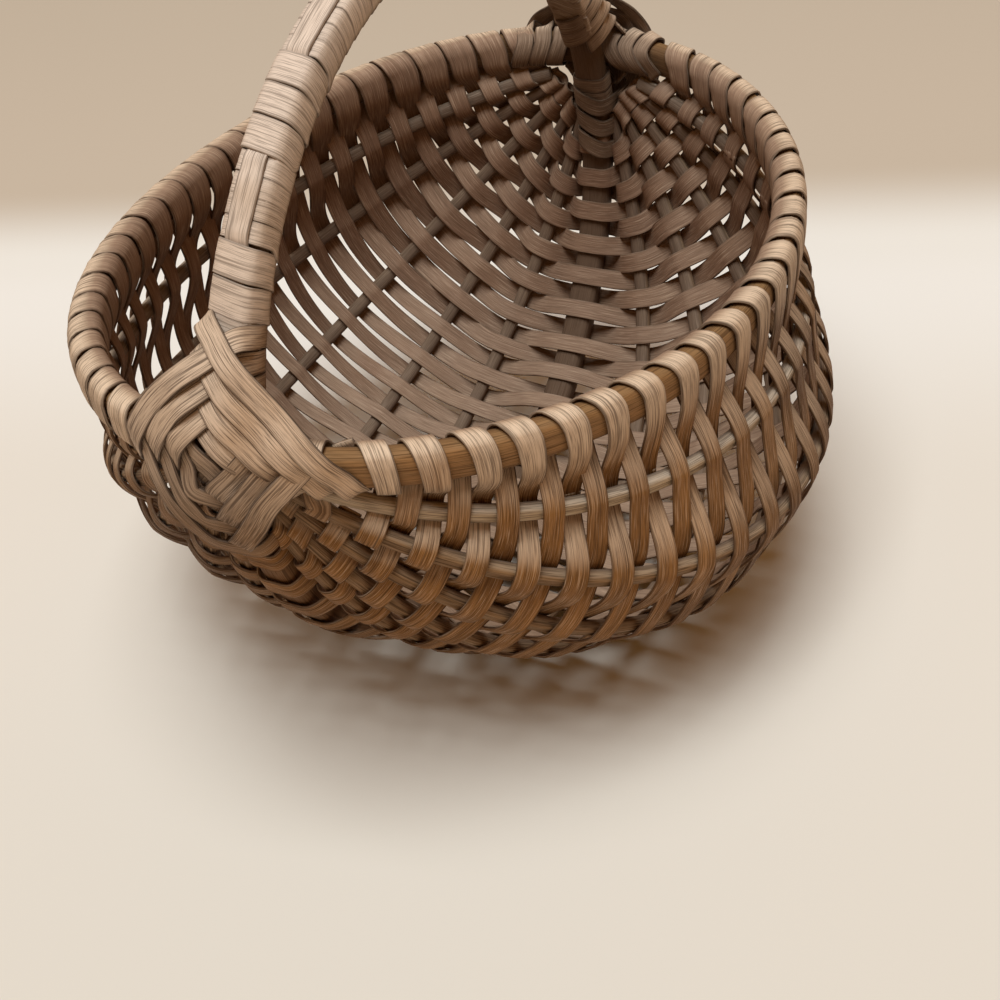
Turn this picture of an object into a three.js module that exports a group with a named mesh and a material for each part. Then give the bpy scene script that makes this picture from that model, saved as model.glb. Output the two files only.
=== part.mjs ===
// Buttocks basket: two hoops at right angles, ten ribs, and flat reed woven from rim to rim.
// Millimetres, +Z up, +Y from the front ear to the back ear, origin under the middle of the basket.
import * as THREE from 'three';

// Driving dimensions of the two hoops
const RIM_HALF_WIDTH = 90;
const RIM_HALF_LENGTH = 105.5;
const RIM_SADDLE = 3;
const RIM_HEIGHT = 9.2;
const RIM_THICKNESS = 6.4;
const HOOP_HALF_HEIGHT = 93.5;
const HOOP_DROP = 17;
const HOOP_WIDTH = 9.5;
const HOOP_THICKNESS = 7;
const HOOP_FIT = 1.5;

// Driving dimensions of the ribs, numbered from the rim down to the keel, with the swell of each
// as a share of the rim's half width
const RIB_ANGLES = [17.5, 30.8, 45.3, 60.4, 73.7];
const RIB_SWELL = [1.1055, 1.3078, 1.3767, 1.3667, 1.3278];
const RIB_INSET = 3.5;
const RIB_RADIUS = 2;
const RIB_TIP_RADIUS = 1.3;
const RIB_START = [23, 22, 22, 23, 27.5];

// Driving dimensions of the reed and the weave
const REED_THICKNESS = 0.9;
const REED_WIDTH = 6;
const WEAVE_WIDTH = 5.4;
const CLEARANCE = 0.35;
const ROWS = 45;
const STRANDS = 11;
const ROWS_PER_STRAND = 4;
const WEAVE_START = [36.5, 33.5, 32.5, 32.5, 34.5, 39, 43];
const ROW_GAP = 0.4;
const FOOT_ROWS = [21, 23];
const FOOT_DEPTH = 0.1;

// Driving dimensions of the ear lashings
const EAR_COURSES = 4;
const EAR_REED = 0.8;
const EAR_BEND_WIDTH = 2.4;
const EAR_WIDTH = 4.4;
const EAR_BULGE = 0.1;
const EAR_LAST_WIDTH = 5.8;
const EAR_ON_RIM = 6;
const EAR_RIM_PITCH = 7;
const EAR_ON_HOOP = 11;
const EAR_HOOP_PITCH = 7.2;
const EAR_LEAN = 1.5;
const EAR_LAYER = 1.4;

// Driving dimensions of the handle binding, where true marks a turn that lies over the runner
const BINDING_START = 38;
const BINDING_STEP = 2;
const BINDING_GAP = 0.75;
const BINDING_REED = 0.8;
const BINDING_PLAN = [false, true, true, false, false, false, false, false, true, true, true, false, false, false];
const RUNNER_WIDTH = 5;
const RUNNER_THICKNESS = 0.9;

const WOOD = '#a5804f';
const RIB_WOOD = '#8d8276';
const REED = '#b09a7c';
const EAR_COLOUR = '#a68f70';
const HANDLE_REED = '#b3a38c';

const vec = (x, y, z) => new THREE.Vector3(x, y, z);
const blend = (from, to, share) => from.clone().lerp(to, share);
const mix = (from, to, share) => from + (to - from) * share;

// A curve that is walked by length along it
class Rail {
  constructor(curve, from, to, steps = 400) {
    this.points = [];
    this.lengths = [0];
    for (let i = 0; i <= steps; i += 1) {
      this.points.push(curve(mix(from, to, i / steps)));
      if (i > 0) {
        this.lengths.push(this.lengths[i - 1] + this.points[i].distanceTo(this.points[i - 1]));
      }
    }
    this.length = this.lengths[steps];
  }

  locate(distance) {
    const last = this.lengths.length - 2;
    let low = 0;
    let high = last;
    while (low < high) {
      const middle = (low + high + 1) >> 1;
      if (this.lengths[middle] <= distance) {
        low = middle;
      } else {
        high = middle - 1;
      }
    }
    return low;
  }

  point(distance) {
    const i = this.locate(distance);
    const share = (distance - this.lengths[i]) / (this.lengths[i + 1] - this.lengths[i]);
    return blend(this.points[i], this.points[i + 1], share);
  }

  tangent(distance) {
    return this.point(distance + 0.5).sub(this.point(distance - 0.5)).normalize();
  }
}

// The handle hoop fits inside the rim at the ears, and the ribs end inside it
const EAR_ANGLE = Math.asin((HOOP_DROP + RIM_SADDLE) / HOOP_HALF_HEIGHT);
const HOOP_REACH = RIM_HALF_LENGTH - (RIM_THICKNESS + HOOP_THICKNESS) / 2 - HOOP_FIT;
const HOOP_HALF_LENGTH = HOOP_REACH / Math.cos(EAR_ANGLE);
const RIB_HALF_LENGTH = RIM_HALF_LENGTH - RIB_INSET;
const RIB_REACH = RIB_SWELL.map((swell) => swell * RIM_HALF_WIDTH);

// Centre lines of the hoops and ribs
const degrees = (value) => (value * Math.PI) / 180;
const rimPoint = (angle) => vec(
  RIM_HALF_WIDTH * Math.cos(angle),
  RIM_HALF_LENGTH * Math.sin(angle),
  -RIM_SADDLE * Math.cos(2 * angle),
);
const hoopPoint = (angle) => vec(
  0,
  -HOOP_HALF_LENGTH * Math.cos(angle),
  HOOP_HALF_HEIGHT * Math.sin(angle) - HOOP_DROP,
);
const ribPoint = (index, angle) => vec(
  RIB_REACH[index] * Math.sin(angle) * Math.cos(degrees(RIB_ANGLES[index])),
  -RIB_HALF_LENGTH * Math.cos(angle),
  -RIB_REACH[index] * Math.sin(angle) * Math.sin(degrees(RIB_ANGLES[index])),
);
const mirrored = (point) => vec(-point.x, point.y, point.z);

const rimRail = new Rail(rimPoint, -Math.PI / 2, Math.PI / 2);
const keelRail = new Rail((angle) => hoopPoint(-angle), -EAR_ANGLE, Math.PI + EAR_ANGLE);
const handleRail = new Rail(hoopPoint, EAR_ANGLE, Math.PI - EAR_ANGLE);
const ribRails = RIB_ANGLES.map((_, index) => new Rail((angle) => ribPoint(index, angle), 0, Math.PI));

// The thirteen uprights of the weave, from the right rim under the keel to the left rim
const KEEL = 6;
const UPRIGHTS = 13;
const sideRails = [rimRail, ...ribRails, keelRail];

function upright(index, row) {
  const side = index <= KEEL ? index : UPRIGHTS - 1 - index;
  const rail = sideRails[side];
  const start = WEAVE_START[side];
  const pitch = (rail.length - 2 * start) / ROWS;
  const distance = start + pitch * (row + 0.5);
  const point = rail.point(distance);
  const tangent = rail.tangent(distance);
  if (index > KEEL) {
    return { point: mirrored(point), tangent: mirrored(tangent), pitch };
  }
  return { point, tangent, pitch };
}

function crossing(index, row) {
  const here = upright(index, row);
  const before = upright(Math.max(index - 1, 0), row).point;
  const after = upright(Math.min(index + 1, UPRIGHTS - 1), row).point;
  const along = after.clone().sub(before).normalize();
  const outward = along.clone().cross(here.tangent).normalize();
  if (outward.dot(vec(here.point.x, 0, here.point.z + HOOP_DROP)) < 0) {
    outward.negate();
  }
  const room = Math.min(
    index > 0 ? here.point.distanceTo(before) : Infinity,
    index < UPRIGHTS - 1 ? here.point.distanceTo(after) : Infinity,
  );
  return { ...here, along, outward, room };
}

// Solids swept along stations that each carry a centre, a direction across the strip and a face normal
const station = (point, across, normal, width, thickness) => ({ point, across, normal, width, thickness });

function solidFromRings(rings, closed) {
  const sides = rings[0].length;
  const positions = [];
  rings.forEach((ring) => ring.forEach((corner) => positions.push(corner.x, corner.y, corner.z)));
  const index = [];
  const spans = closed ? rings.length : rings.length - 1;
  for (let i = 0; i < spans; i += 1) {
    const next = (i + 1) % rings.length;
    for (let k = 0; k < sides; k += 1) {
      const side = (k + 1) % sides;
      const a = i * sides + k;
      const b = i * sides + side;
      const c = next * sides + side;
      const d = next * sides + k;
      index.push(a, b, c, a, c, d);
    }
  }
  if (!closed) {
    const last = (rings.length - 1) * sides;
    for (let k = 1; k < sides - 1; k += 1) {
      index.push(0, k + 1, k);
      index.push(last, last + k, last + k + 1);
    }
  }
  const geometry = new THREE.BufferGeometry();
  geometry.setAttribute('position', new THREE.Float32BufferAttribute(positions, 3));
  geometry.setIndex(index);
  return facingOut(geometry);
}

// The faces are turned over where the volume they enclose comes out negative
function facingOut(geometry) {
  const index = geometry.getIndex().array;
  const position = geometry.getAttribute('position');
  const corner = (i) => vec(position.getX(i), position.getY(i), position.getZ(i));
  let volume = 0;
  for (let i = 0; i < index.length; i += 3) {
    volume += corner(index[i]).dot(corner(index[i + 1]).cross(corner(index[i + 2])));
  }
  if (volume < 0) {
    for (let i = 0; i < index.length; i += 3) {
      [index[i + 1], index[i + 2]] = [index[i + 2], index[i + 1]];
    }
  }
  geometry.computeVertexNormals();
  return geometry;
}

function sweepStrip(stations) {
  const rings = stations.map(({ point, across, normal, width, thickness }) => {
    const side = across.clone().multiplyScalar(width / 2);
    const face = normal.clone().multiplyScalar(thickness / 2);
    return [
      point.clone().add(side).add(face),
      point.clone().sub(side).add(face),
      point.clone().sub(side).sub(face),
      point.clone().add(side).sub(face),
    ];
  });
  return solidFromRings(rings, false);
}

// An eight-sided section with its corners taken off
function hoopSection(point, outward, sideways, halfDepth, halfWidth) {
  const chamfer = Math.min(halfDepth, halfWidth) * 0.5;
  const corners = [
    [halfDepth, halfWidth - chamfer],
    [halfDepth - chamfer, halfWidth],
    [chamfer - halfDepth, halfWidth],
    [-halfDepth, halfWidth - chamfer],
    [-halfDepth, chamfer - halfWidth],
    [chamfer - halfDepth, -halfWidth],
    [halfDepth - chamfer, -halfWidth],
    [halfDepth, chamfer - halfWidth],
  ];
  return corners.map(([depth, width]) => point.clone()
    .addScaledVector(outward, depth)
    .addScaledVector(sideways, width));
}

const rimOutward = (angle) => vec(
  Math.cos(angle) / RIM_HALF_WIDTH,
  Math.sin(angle) / RIM_HALF_LENGTH,
  0,
).normalize();
const hoopOutward = (angle) => vec(
  0,
  -Math.cos(angle) / HOOP_HALF_LENGTH,
  Math.sin(angle) / HOOP_HALF_HEIGHT,
).normalize();

function rimHoop() {
  const steps = 56;
  const rings = [];
  for (let i = 0; i < steps; i += 1) {
    const angle = (2 * Math.PI * i) / steps;
    rings.push(hoopSection(rimPoint(angle), rimOutward(angle), vec(0, 0, 1), RIM_THICKNESS / 2, RIM_HEIGHT / 2));
  }
  return solidFromRings(rings, true);
}

function handleHoop() {
  const steps = 60;
  const rings = [];
  for (let i = 0; i < steps; i += 1) {
    const angle = (2 * Math.PI * i) / steps;
    rings.push(hoopSection(hoopPoint(angle), hoopOutward(angle), vec(1, 0, 0), HOOP_THICKNESS / 2, HOOP_WIDTH / 2));
  }
  return solidFromRings(rings, true);
}

function rib(index) {
  const rail = ribRails[index];
  const start = RIB_START[index];
  const steps = 22;
  const plane = degrees(RIB_ANGLES[index]);
  const sideways = vec(Math.sin(plane), 0, Math.cos(plane));
  const rings = [];
  for (let i = 0; i <= steps; i += 1) {
    const distance = mix(start, rail.length - start, i / steps);
    const outward = sideways.clone().cross(rail.tangent(distance)).normalize();
    const toTip = Math.min(distance - start, rail.length - start - distance);
    const radius = mix(RIB_TIP_RADIUS, RIB_RADIUS, Math.min(toTip / 40, 1));
    const ring = [];
    for (let k = 0; k < 6; k += 1) {
      const turn = (Math.PI * k) / 3;
      ring.push(rail.point(distance)
        .addScaledVector(outward, radius * Math.cos(turn))
        .addScaledVector(sideways, radius * Math.sin(turn)));
    }
    rings.push(ring);
  }
  return solidFromRings(rings, false);
}

// The weave: even rows pass outside the rim and odd rows inside it, and each row turns over the rim
const isOutside = (index, row) => (index + row) % 2 === 0;
const RIB_OFFSET = RIB_RADIUS + REED_THICKNESS / 2 + CLEARANCE;
const KEEL_OFFSET = HOOP_THICKNESS / 2 + REED_THICKNESS / 2 + CLEARANCE;
const TIGHT_ROOM = 16;
const rowWidth = (pitch) => Math.min(WEAVE_WIDTH, pitch - ROW_GAP);

function crossingStations(index, row, heading) {
  const place = crossing(index, row);
  const side = isOutside(index, row) ? 1 : -1;
  const face = row % 2 === 0 ? 1 : -1;
  const width = rowWidth(place.pitch);
  const normal = place.outward.clone().multiplyScalar(face);
  const at = (offset, shift) => station(
    place.point.clone()
      .addScaledVector(place.outward, side * offset)
      .addScaledVector(place.along, shift * heading),
    place.tangent,
    normal,
    width,
    REED_THICKNESS,
  );
  if (index === KEEL) {
    const half = HOOP_WIDTH / 2 + 0.4;
    return [at(KEEL_OFFSET, -half), at(KEEL_OFFSET, half)];
  }
  const lowest = index === KEEL - 1 || index === KEEL + 1;
  if (lowest && FOOT_ROWS.includes(row)) {
    return footStations(place, width, face, heading);
  }
  if (place.room < TIGHT_ROOM) {
    return [at(RIB_OFFSET, -1.8), at(RIB_OFFSET, 1.8)];
  }
  const slope = Math.atan((2 * RIB_OFFSET) / place.room);
  return [at(RIB_OFFSET / Math.cos(slope), 0)];
}

// Under each lobe two rows lie level where they meet the ground
function footStations(place, width, face, heading) {
  return [-2.4, 2.4].map((shift) => station(
    place.point.clone().add(vec(-shift * heading, 0, -RIB_OFFSET - 0.2)),
    vec(0, 1, 0),
    vec(0, 0, -face),
    width,
    REED_THICKNESS,
  ));
}

// The turn over the rim, from the row that arrives to the row that leaves
function rimTurn(index, row) {
  const outsideFirst = row % 2 === 0;
  const reach = RIM_THICKNESS / 2 + REED_THICKNESS / 2 + CLEARANCE;
  const top = RIM_HEIGHT / 2 + REED_THICKNESS / 2 + CLEARANCE;
  const narrow = rowWidth(upright(index, row).pitch);
  const profile = [
    [reach, -RIM_HEIGHT * 0.43, 0, 0, narrow],
    [reach, RIM_HEIGHT * 0.34, 0.1, 20, REED_WIDTH - 0.4],
    [reach * 0.62, top, 0.35, 70, REED_WIDTH],
    [-reach * 0.62, top, 0.65, 110, REED_WIDTH],
    [-reach, RIM_HEIGHT * 0.34, 0.9, 160, REED_WIDTH - 0.4],
    [-reach, -RIM_HEIGHT * 0.43, 1, 180, narrow],
  ];
  return profile.map(([depth, height, share, turn, width]) => {
    const place = upright(index, row + share);
    const outward = vec(place.tangent.y, -place.tangent.x, 0).normalize();
    if (outward.x * place.point.x < 0) {
      outward.negate();
    }
    const side = outsideFirst ? 1 : -1;
    const point = place.point.clone().addScaledVector(outward, side * depth);
    point.z += height;
    const normal = outward.clone().multiplyScalar(side * Math.cos(degrees(turn)));
    normal.z += Math.sin(degrees(turn));
    return station(point, place.tangent, normal.normalize(), width, REED_THICKNESS);
  });
}

function rowStations(row) {
  const stations = [];
  for (let step = 1; step < UPRIGHTS - 1; step += 1) {
    const leftward = row % 2 === 0;
    const index = leftward ? step : UPRIGHTS - 1 - step;
    stations.push(...crossingStations(index, row, leftward ? 1 : -1));
  }
  return stations;
}

// Each strand ends behind the first right rib, where the next one starts
function weaver(strand) {
  const first = strand * ROWS_PER_STRAND;
  const last = strand === STRANDS - 1 ? ROWS : first + ROWS_PER_STRAND;
  const stations = [];
  if (first === 0) {
    stations.push(rimTurn(0, -1)[5]);
  }
  for (let row = first; row < last; row += 1) {
    const turnIndex = row % 2 === 0 ? UPRIGHTS - 1 : 0;
    stations.push(...rowStations(row));
    if (row < ROWS - 1) {
      stations.push(...rimTurn(turnIndex, row));
    } else {
      stations.push(rimTurn(turnIndex, row)[0]);
    }
  }
  if (first > 0) {
    stations[0] = shifted(stations[0], stations[1], 0.3);
  }
  if (last < ROWS) {
    const tail = crossingStations(1, last, 1)[0];
    stations.push(shifted(tail, stations[stations.length - 1], 0.3));
  }
  return sweepStrip(stations);
}

function shifted(from, towards, distance) {
  const step = towards.point.clone().sub(from.point).normalize().multiplyScalar(distance);
  return { ...from, point: from.point.clone().add(step) };
}

// The ear: a strip that goes round four spokes in turn, each course further out than the last
function earSpokes() {
  const frame = (point, outAlong, front) => ({
    point,
    along: outAlong,
    front,
    across: outAlong.clone().cross(front).normalize(),
  });
  const rimFront = (point) => vec(
    point.x / RIM_HALF_WIDTH ** 2,
    point.y / RIM_HALF_LENGTH ** 2,
    0,
  ).normalize();
  const hoopFront = (point) => vec(
    0,
    point.y / HOOP_HALF_LENGTH ** 2,
    (point.z + HOOP_DROP) / HOOP_HALF_HEIGHT ** 2,
  ).normalize();
  const onRim = (mirror) => (distance) => {
    const point = rimRail.point(distance);
    const tangent = rimRail.tangent(distance);
    const place = mirror ? mirrored(point) : point;
    return frame(place, mirror ? mirrored(tangent) : tangent, rimFront(place));
  };
  const onHoop = (rail) => (distance) => {
    const point = rail.point(distance);
    return frame(point, rail.tangent(distance), hoopFront(point));
  };
  const rimSize = { half: RIM_HEIGHT / 2, depth: RIM_THICKNESS / 2, start: EAR_ON_RIM, pitch: EAR_RIM_PITCH };
  const hoopSize = { half: HOOP_WIDTH / 2, depth: HOOP_THICKNESS / 2, start: EAR_ON_HOOP, pitch: EAR_HOOP_PITCH };
  return [
    { at: onHoop(handleRail), ...hoopSize },
    { at: onRim(false), ...rimSize },
    { at: onHoop(keelRail), ...hoopSize },
    { at: onRim(true), ...rimSize },
  ];
}

// One pass round a spoke: across the front, round the back, and across the front again on top
function spokePass(spoke, course) {
  const lift = EAR_REED / 2 + CLEARANCE;
  const middle = spoke.start + spoke.pitch * course;
  const half = spoke.half + lift;
  const depth = spoke.depth + lift;
  const upper = depth + EAR_LAYER;
  const plan = [
    [-EAR_LEAN, 1, depth, 0, 'front'],
    [EAR_LEAN * 0.9, -0.95, depth, 0, 'front'],
    [EAR_LEAN, -1, 0, -90, 'side'],
    [EAR_LEAN, -0.95, -depth, 180, 'back'],
    [EAR_LEAN, 0.95, -depth, 180, 'back'],
    [EAR_LEAN, 1, 0, 90, 'side'],
    [EAR_LEAN * 0.9, 0.95, upper, 0, 'front'],
    [-EAR_LEAN, -1, upper, 0, 'front'],
  ];
  return plan.map(([lean, share, front, turn, face]) => {
    const place = spoke.at(middle + lean);
    const sideways = place.across.clone().negate();
    const point = place.point.clone()
      .addScaledVector(sideways, share * half)
      .addScaledVector(place.front, front);
    const normal = place.front.clone().multiplyScalar(Math.cos(degrees(turn)));
    normal.addScaledVector(sideways, Math.sin(degrees(turn)));
    const slant = face === 'front' ? Math.atan2(2 * EAR_LEAN, 2 * half) : 0;
    const leanSign = front === upper ? -1 : 1;
    const across = place.along.clone().multiplyScalar(Math.cos(slant));
    across.addScaledVector(sideways, leanSign * Math.sin(slant));
    return station(point, across.normalize(), normal.normalize(), EAR_BEND_WIDTH, EAR_REED);
  });
}

// Half way between two spokes the strip lies flat, and the last course shows its full width
function betweenSpokes(from, to, course, centre) {
  const middle = blend(from.point, to.point, 0.5);
  const outward = middle.clone().sub(centre).normalize();
  const point = middle.addScaledVector(outward, EAR_BULGE * from.point.distanceTo(to.point));
  const normal = blend(from.normal, to.normal, 0.5).normalize();
  const along = to.point.clone().sub(from.point).normalize();
  const across = normal.clone().cross(along).normalize();
  if (across.dot(from.across) < 0) {
    across.negate();
  }
  const width = course === EAR_COURSES - 1 ? EAR_LAST_WIDTH : EAR_WIDTH;
  const shift = ((width - EAR_WIDTH) / 2) * Math.sign(across.dot(outward));
  return station(point.addScaledVector(across, shift), across, normal, width, EAR_REED);
}

function earStations() {
  const spokes = earSpokes();
  const centre = spokes[1].at(0.6).point;
  const stations = [];
  for (let course = 0; course < EAR_COURSES; course += 1) {
    spokes.forEach((spoke, order) => {
      const pass = spokePass(spoke, course + order / spokes.length);
      if (stations.length > 0) {
        stations.push(betweenSpokes(stations[stations.length - 1], pass[0], course, centre));
      }
      stations.push(...pass);
    });
  }
  return stations;
}

// The least gap between parts of one strip that are not neighbours along it
function leastSelfGap(stations, apart) {
  const samples = [];
  let walked = 0;
  for (let i = 0; i < stations.length - 1; i += 1) {
    const from = stations[i];
    const to = stations[i + 1];
    const length = from.point.distanceTo(to.point);
    const steps = Math.max(1, Math.ceil(length / 0.5));
    for (let k = 0; k < steps; k += 1) {
      const share = k / steps;
      const across = blend(from.across, to.across, share);
      const normal = blend(from.normal, to.normal, share);
      const width = mix(from.width, to.width, share);
      for (let side = -4; side <= 4; side += 1) {
        for (let face = -1; face <= 1; face += 2) {
          const point = blend(from.point, to.point, share)
            .addScaledVector(across, (side * width) / 8)
            .addScaledVector(normal, (face * from.thickness) / 2);
          samples.push({ point, walked: walked + length * share });
        }
      }
    }
    walked += length;
  }
  const cell = 2;
  const cells = new Map();
  const name = (x, y, z) => `${x},${y},${z}`;
  samples.forEach((sample) => {
    const key = name(...sample.point.toArray().map((value) => Math.floor(value / cell)));
    if (!cells.has(key)) {
      cells.set(key, []);
    }
    cells.get(key).push(sample);
  });
  let least = Infinity;
  samples.forEach((sample) => {
    const [x, y, z] = sample.point.toArray().map((value) => Math.floor(value / cell));
    for (let i = x - 1; i <= x + 1; i += 1) {
      for (let j = y - 1; j <= y + 1; j += 1) {
        for (let k = z - 1; k <= z + 1; k += 1) {
          (cells.get(name(i, j, k)) || []).forEach((other) => {
            if (other.walked - sample.walked > apart) {
              least = Math.min(least, sample.point.distanceTo(other.point));
            }
          });
        }
      }
    }
  });
  return least;
}

// The handle binding: turns round the hoop, each stepping to the next along the inner face
const bindingPlan = [...BINDING_PLAN, ...BINDING_PLAN.slice().reverse()];
const planSteps = bindingPlan.filter((over, i) => i > 0 && over !== bindingPlan[i - 1]).length;
const boundLength = handleRail.length - 2 * BINDING_START;
const bindingPitch = (boundLength - planSteps * BINDING_STEP) / bindingPlan.length;
const bindingWidth = bindingPitch - BINDING_GAP;
const bindingCentres = [];
bindingPlan.forEach((over, i) => {
  const extra = i > 0 && over !== bindingPlan[i - 1] ? BINDING_STEP : 0;
  const previous = i > 0 ? bindingCentres[i - 1] + bindingPitch : BINDING_START + bindingPitch / 2;
  bindingCentres.push(previous + extra);
});
const BINDING_LIFT = BINDING_REED / 2 + CLEARANCE;
const RUNNER_LOW = HOOP_THICKNESS / 2 + CLEARANCE + RUNNER_THICKNESS / 2;
const TURN_LOW = HOOP_THICKNESS / 2 + BINDING_LIFT;
const TURN_HIGH = RUNNER_LOW + RUNNER_THICKNESS / 2 + BINDING_LIFT + 0.05;
const RUNNER_HIGH = TURN_LOW + BINDING_REED / 2 + CLEARANCE + RUNNER_THICKNESS / 2;

function handleFrame(distance) {
  const point = handleRail.point(distance);
  const along = handleRail.tangent(distance);
  const outward = vec(0, 0, 0).crossVectors(vec(1, 0, 0), along).normalize();
  if (outward.dot(vec(0, point.y, point.z + HOOP_DROP)) < 0) {
    outward.negate();
  }
  return { point, along, outward };
}

function bindingStations(from, to) {
  const stations = [];
  const half = HOOP_WIDTH / 2 + BINDING_LIFT;
  for (let turn = from; turn < to; turn += 1) {
    const centre = bindingCentres[turn];
    const next = turn + 1 < to ? bindingCentres[turn + 1] : centre + bindingPitch;
    const crown = bindingPlan[turn] ? TURN_HIGH : TURN_LOW;
    const plan = [
      [centre, 1, -0.55, 90],
      [centre, 1, 0.55, 75],
      [centre, 0.68, crown, 0],
      [centre, -0.68, crown, 0],
      [centre, -1, 0.55, -75],
      [centre, -1, -0.55, -90],
      [mix(centre, next, 0.25), -0.68, -TURN_LOW, 180],
      [mix(centre, next, 0.75), 0.68, -TURN_LOW, 180],
    ];
    const used = turn + 1 < to ? plan : plan.slice(0, -1);
    used.forEach(([distance, share, height, angle]) => {
      const place = handleFrame(distance);
      const raised = Math.abs(height) < 1 ? height * HOOP_THICKNESS * 0.5 : height;
      const point = place.point.clone()
        .addScaledVector(vec(1, 0, 0), share * half)
        .addScaledVector(place.outward, raised);
      const normal = place.outward.clone().multiplyScalar(Math.cos(degrees(angle)));
      normal.addScaledVector(vec(1, 0, 0), Math.sin(degrees(angle)));
      stations.push(station(point, place.along, normal.normalize(), bindingWidth, BINDING_REED));
    });
  }
  return stations;
}

// The runner lies on the outer face of the handle, over most turns and under the rest
function runner() {
  const stations = [];
  const add = (distance, height) => {
    const place = handleFrame(distance);
    const point = place.point.clone().addScaledVector(place.outward, height);
    stations.push(station(point, vec(1, 0, 0), place.outward, RUNNER_WIDTH, RUNNER_THICKNESS));
  };
  const reach = bindingWidth / 2 + 0.45;
  bindingCentres.forEach((centre, i) => {
    const height = bindingPlan[i] ? RUNNER_LOW : RUNNER_HIGH;
    const enters = i === 0 || bindingPlan[i - 1] !== bindingPlan[i];
    const leaves = i === bindingPlan.length - 1 || bindingPlan[i + 1] !== bindingPlan[i];
    if (enters) {
      add(centre - reach, height);
    }
    if (!enters && !leaves) {
      add(centre, height);
    }
    if (leaves) {
      add(centre + reach, height);
    }
  });
  return sweepStrip(stations);
}

// Assembly: every piece is set on the ground, and the lowest strips are worn flat there
const pieces = [];
const place = (name, geometry, colour, roughness) => pieces.push({ name, geometry, colour, roughness });

place('rim_hoop', rimHoop(), WOOD, 0.55);
place('handle_hoop', handleHoop(), WOOD, 0.55);
RIB_ANGLES.forEach((_, index) => {
  const right = rib(index);
  const left = facingOut(right.clone().applyMatrix4(new THREE.Matrix4().makeScale(-1, 1, 1)));
  place(`rib_right_${index + 1}`, right, RIB_WOOD, 0.7);
  place(`rib_left_${index + 1}`, left, RIB_WOOD, 0.7);
});
for (let strand = 0; strand < STRANDS; strand += 1) {
  place(`weaver_${String(strand + 1).padStart(2, '0')}`, weaver(strand), REED, 0.75);
}
const earPath = earStations();
const frontEar = sweepStrip(earPath);
place('ear_front', frontEar, EAR_COLOUR, 0.75);
place('ear_back', frontEar.clone().rotateZ(Math.PI), EAR_COLOUR, 0.75);
const frontBinding = bindingStations(0, BINDING_PLAN.length);
const backBinding = bindingStations(BINDING_PLAN.length, bindingPlan.length);
place('handle_wrap_front', sweepStrip(frontBinding), HANDLE_REED, 0.75);
place('handle_wrap_back', sweepStrip(backBinding), HANDLE_REED, 0.75);
place('handle_runner', runner(), HANDLE_REED, 0.75);

console.log(`ear self gap ${leastSelfGap(earPath, 12).toFixed(2)} mm`);
console.log(`handle binding self gap ${leastSelfGap(frontBinding, 12).toFixed(2)} mm`);

const whole = new THREE.Box3();
pieces.forEach(({ geometry }) => {
  geometry.computeBoundingBox();
  whole.union(geometry.boundingBox);
});
const basket = new THREE.Group();
basket.name = 'buttocks_basket';
pieces.forEach(({ name, geometry, colour, roughness }) => {
  geometry.translate(0, 0, -whole.min.z - FOOT_DEPTH);
  const position = geometry.getAttribute('position');
  for (let i = 0; i < position.count; i += 1) {
    position.setZ(i, Math.max(position.getZ(i), 0));
  }
  const mesh = new THREE.Mesh(geometry, new THREE.MeshStandardMaterial({ color: colour, roughness }));
  mesh.name = name;
  basket.add(mesh);
});

export default basket;
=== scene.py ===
"""Buttocks basket: two hoops, ten ribs and flat reed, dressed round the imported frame.

Lengths are millimetres in the rim's own frame, with the rim at height nought. A finished mesh is in metres
and stands on the ground.
"""

import logging
import math
from dataclasses import dataclass, field
from enum import Enum
from functools import cached_property
from typing import Callable, Sequence

import bmesh
import bpy
import numpy as np
from mathutils import Matrix, Vector

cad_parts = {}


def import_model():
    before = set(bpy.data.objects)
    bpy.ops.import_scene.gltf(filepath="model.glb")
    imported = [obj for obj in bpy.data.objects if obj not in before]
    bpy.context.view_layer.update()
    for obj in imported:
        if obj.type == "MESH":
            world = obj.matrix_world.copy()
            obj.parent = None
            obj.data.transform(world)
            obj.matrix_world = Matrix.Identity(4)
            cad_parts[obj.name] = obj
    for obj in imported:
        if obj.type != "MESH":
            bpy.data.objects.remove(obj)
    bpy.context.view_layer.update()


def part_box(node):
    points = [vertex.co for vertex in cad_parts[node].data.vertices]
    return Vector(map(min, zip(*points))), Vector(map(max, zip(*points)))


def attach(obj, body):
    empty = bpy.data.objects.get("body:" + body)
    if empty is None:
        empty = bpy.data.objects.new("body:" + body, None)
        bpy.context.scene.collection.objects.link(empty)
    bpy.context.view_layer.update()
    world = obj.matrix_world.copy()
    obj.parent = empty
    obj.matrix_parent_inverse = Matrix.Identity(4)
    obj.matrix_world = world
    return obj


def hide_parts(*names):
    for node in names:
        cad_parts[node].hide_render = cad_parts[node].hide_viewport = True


LOG = logging.getLogger("basket")
MM = 0.001
BODY = "root"
SEED = 20
FINE_STEP = 1.1
SHORTEST_GAP = 1e-6
WELD_DISTANCE = 1e-7
# The band along each reed edge that takes painted shade: where it starts and how wide, as shares across the
# strip.
EDGE_START = 0.42
EDGE_SPAN = 0.06
# Places for the painted light and shade, in metres from the ground under the basket's middle.
# Middle of the pool of warm light painted on the front of the basket.
WARM_LIGHT_PLACE = (0.058, -0.088, 0.092)
# Middle of the shade painted in each ear's heart; the place is folded so that it serves both ears.
EAR_SHADE_CENTRE = (0.004, 0.112, 0.11)
BASKET_MIDDLE = (0.0, 0.0, 0.13)

Array = np.ndarray
Limits = tuple[float, float]


def unit(vector: Array) -> Array:
    """Scale one vector, or each row of vectors, to length one."""
    return vector / np.linalg.norm(vector, axis=-1, keepdims=True)


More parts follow.
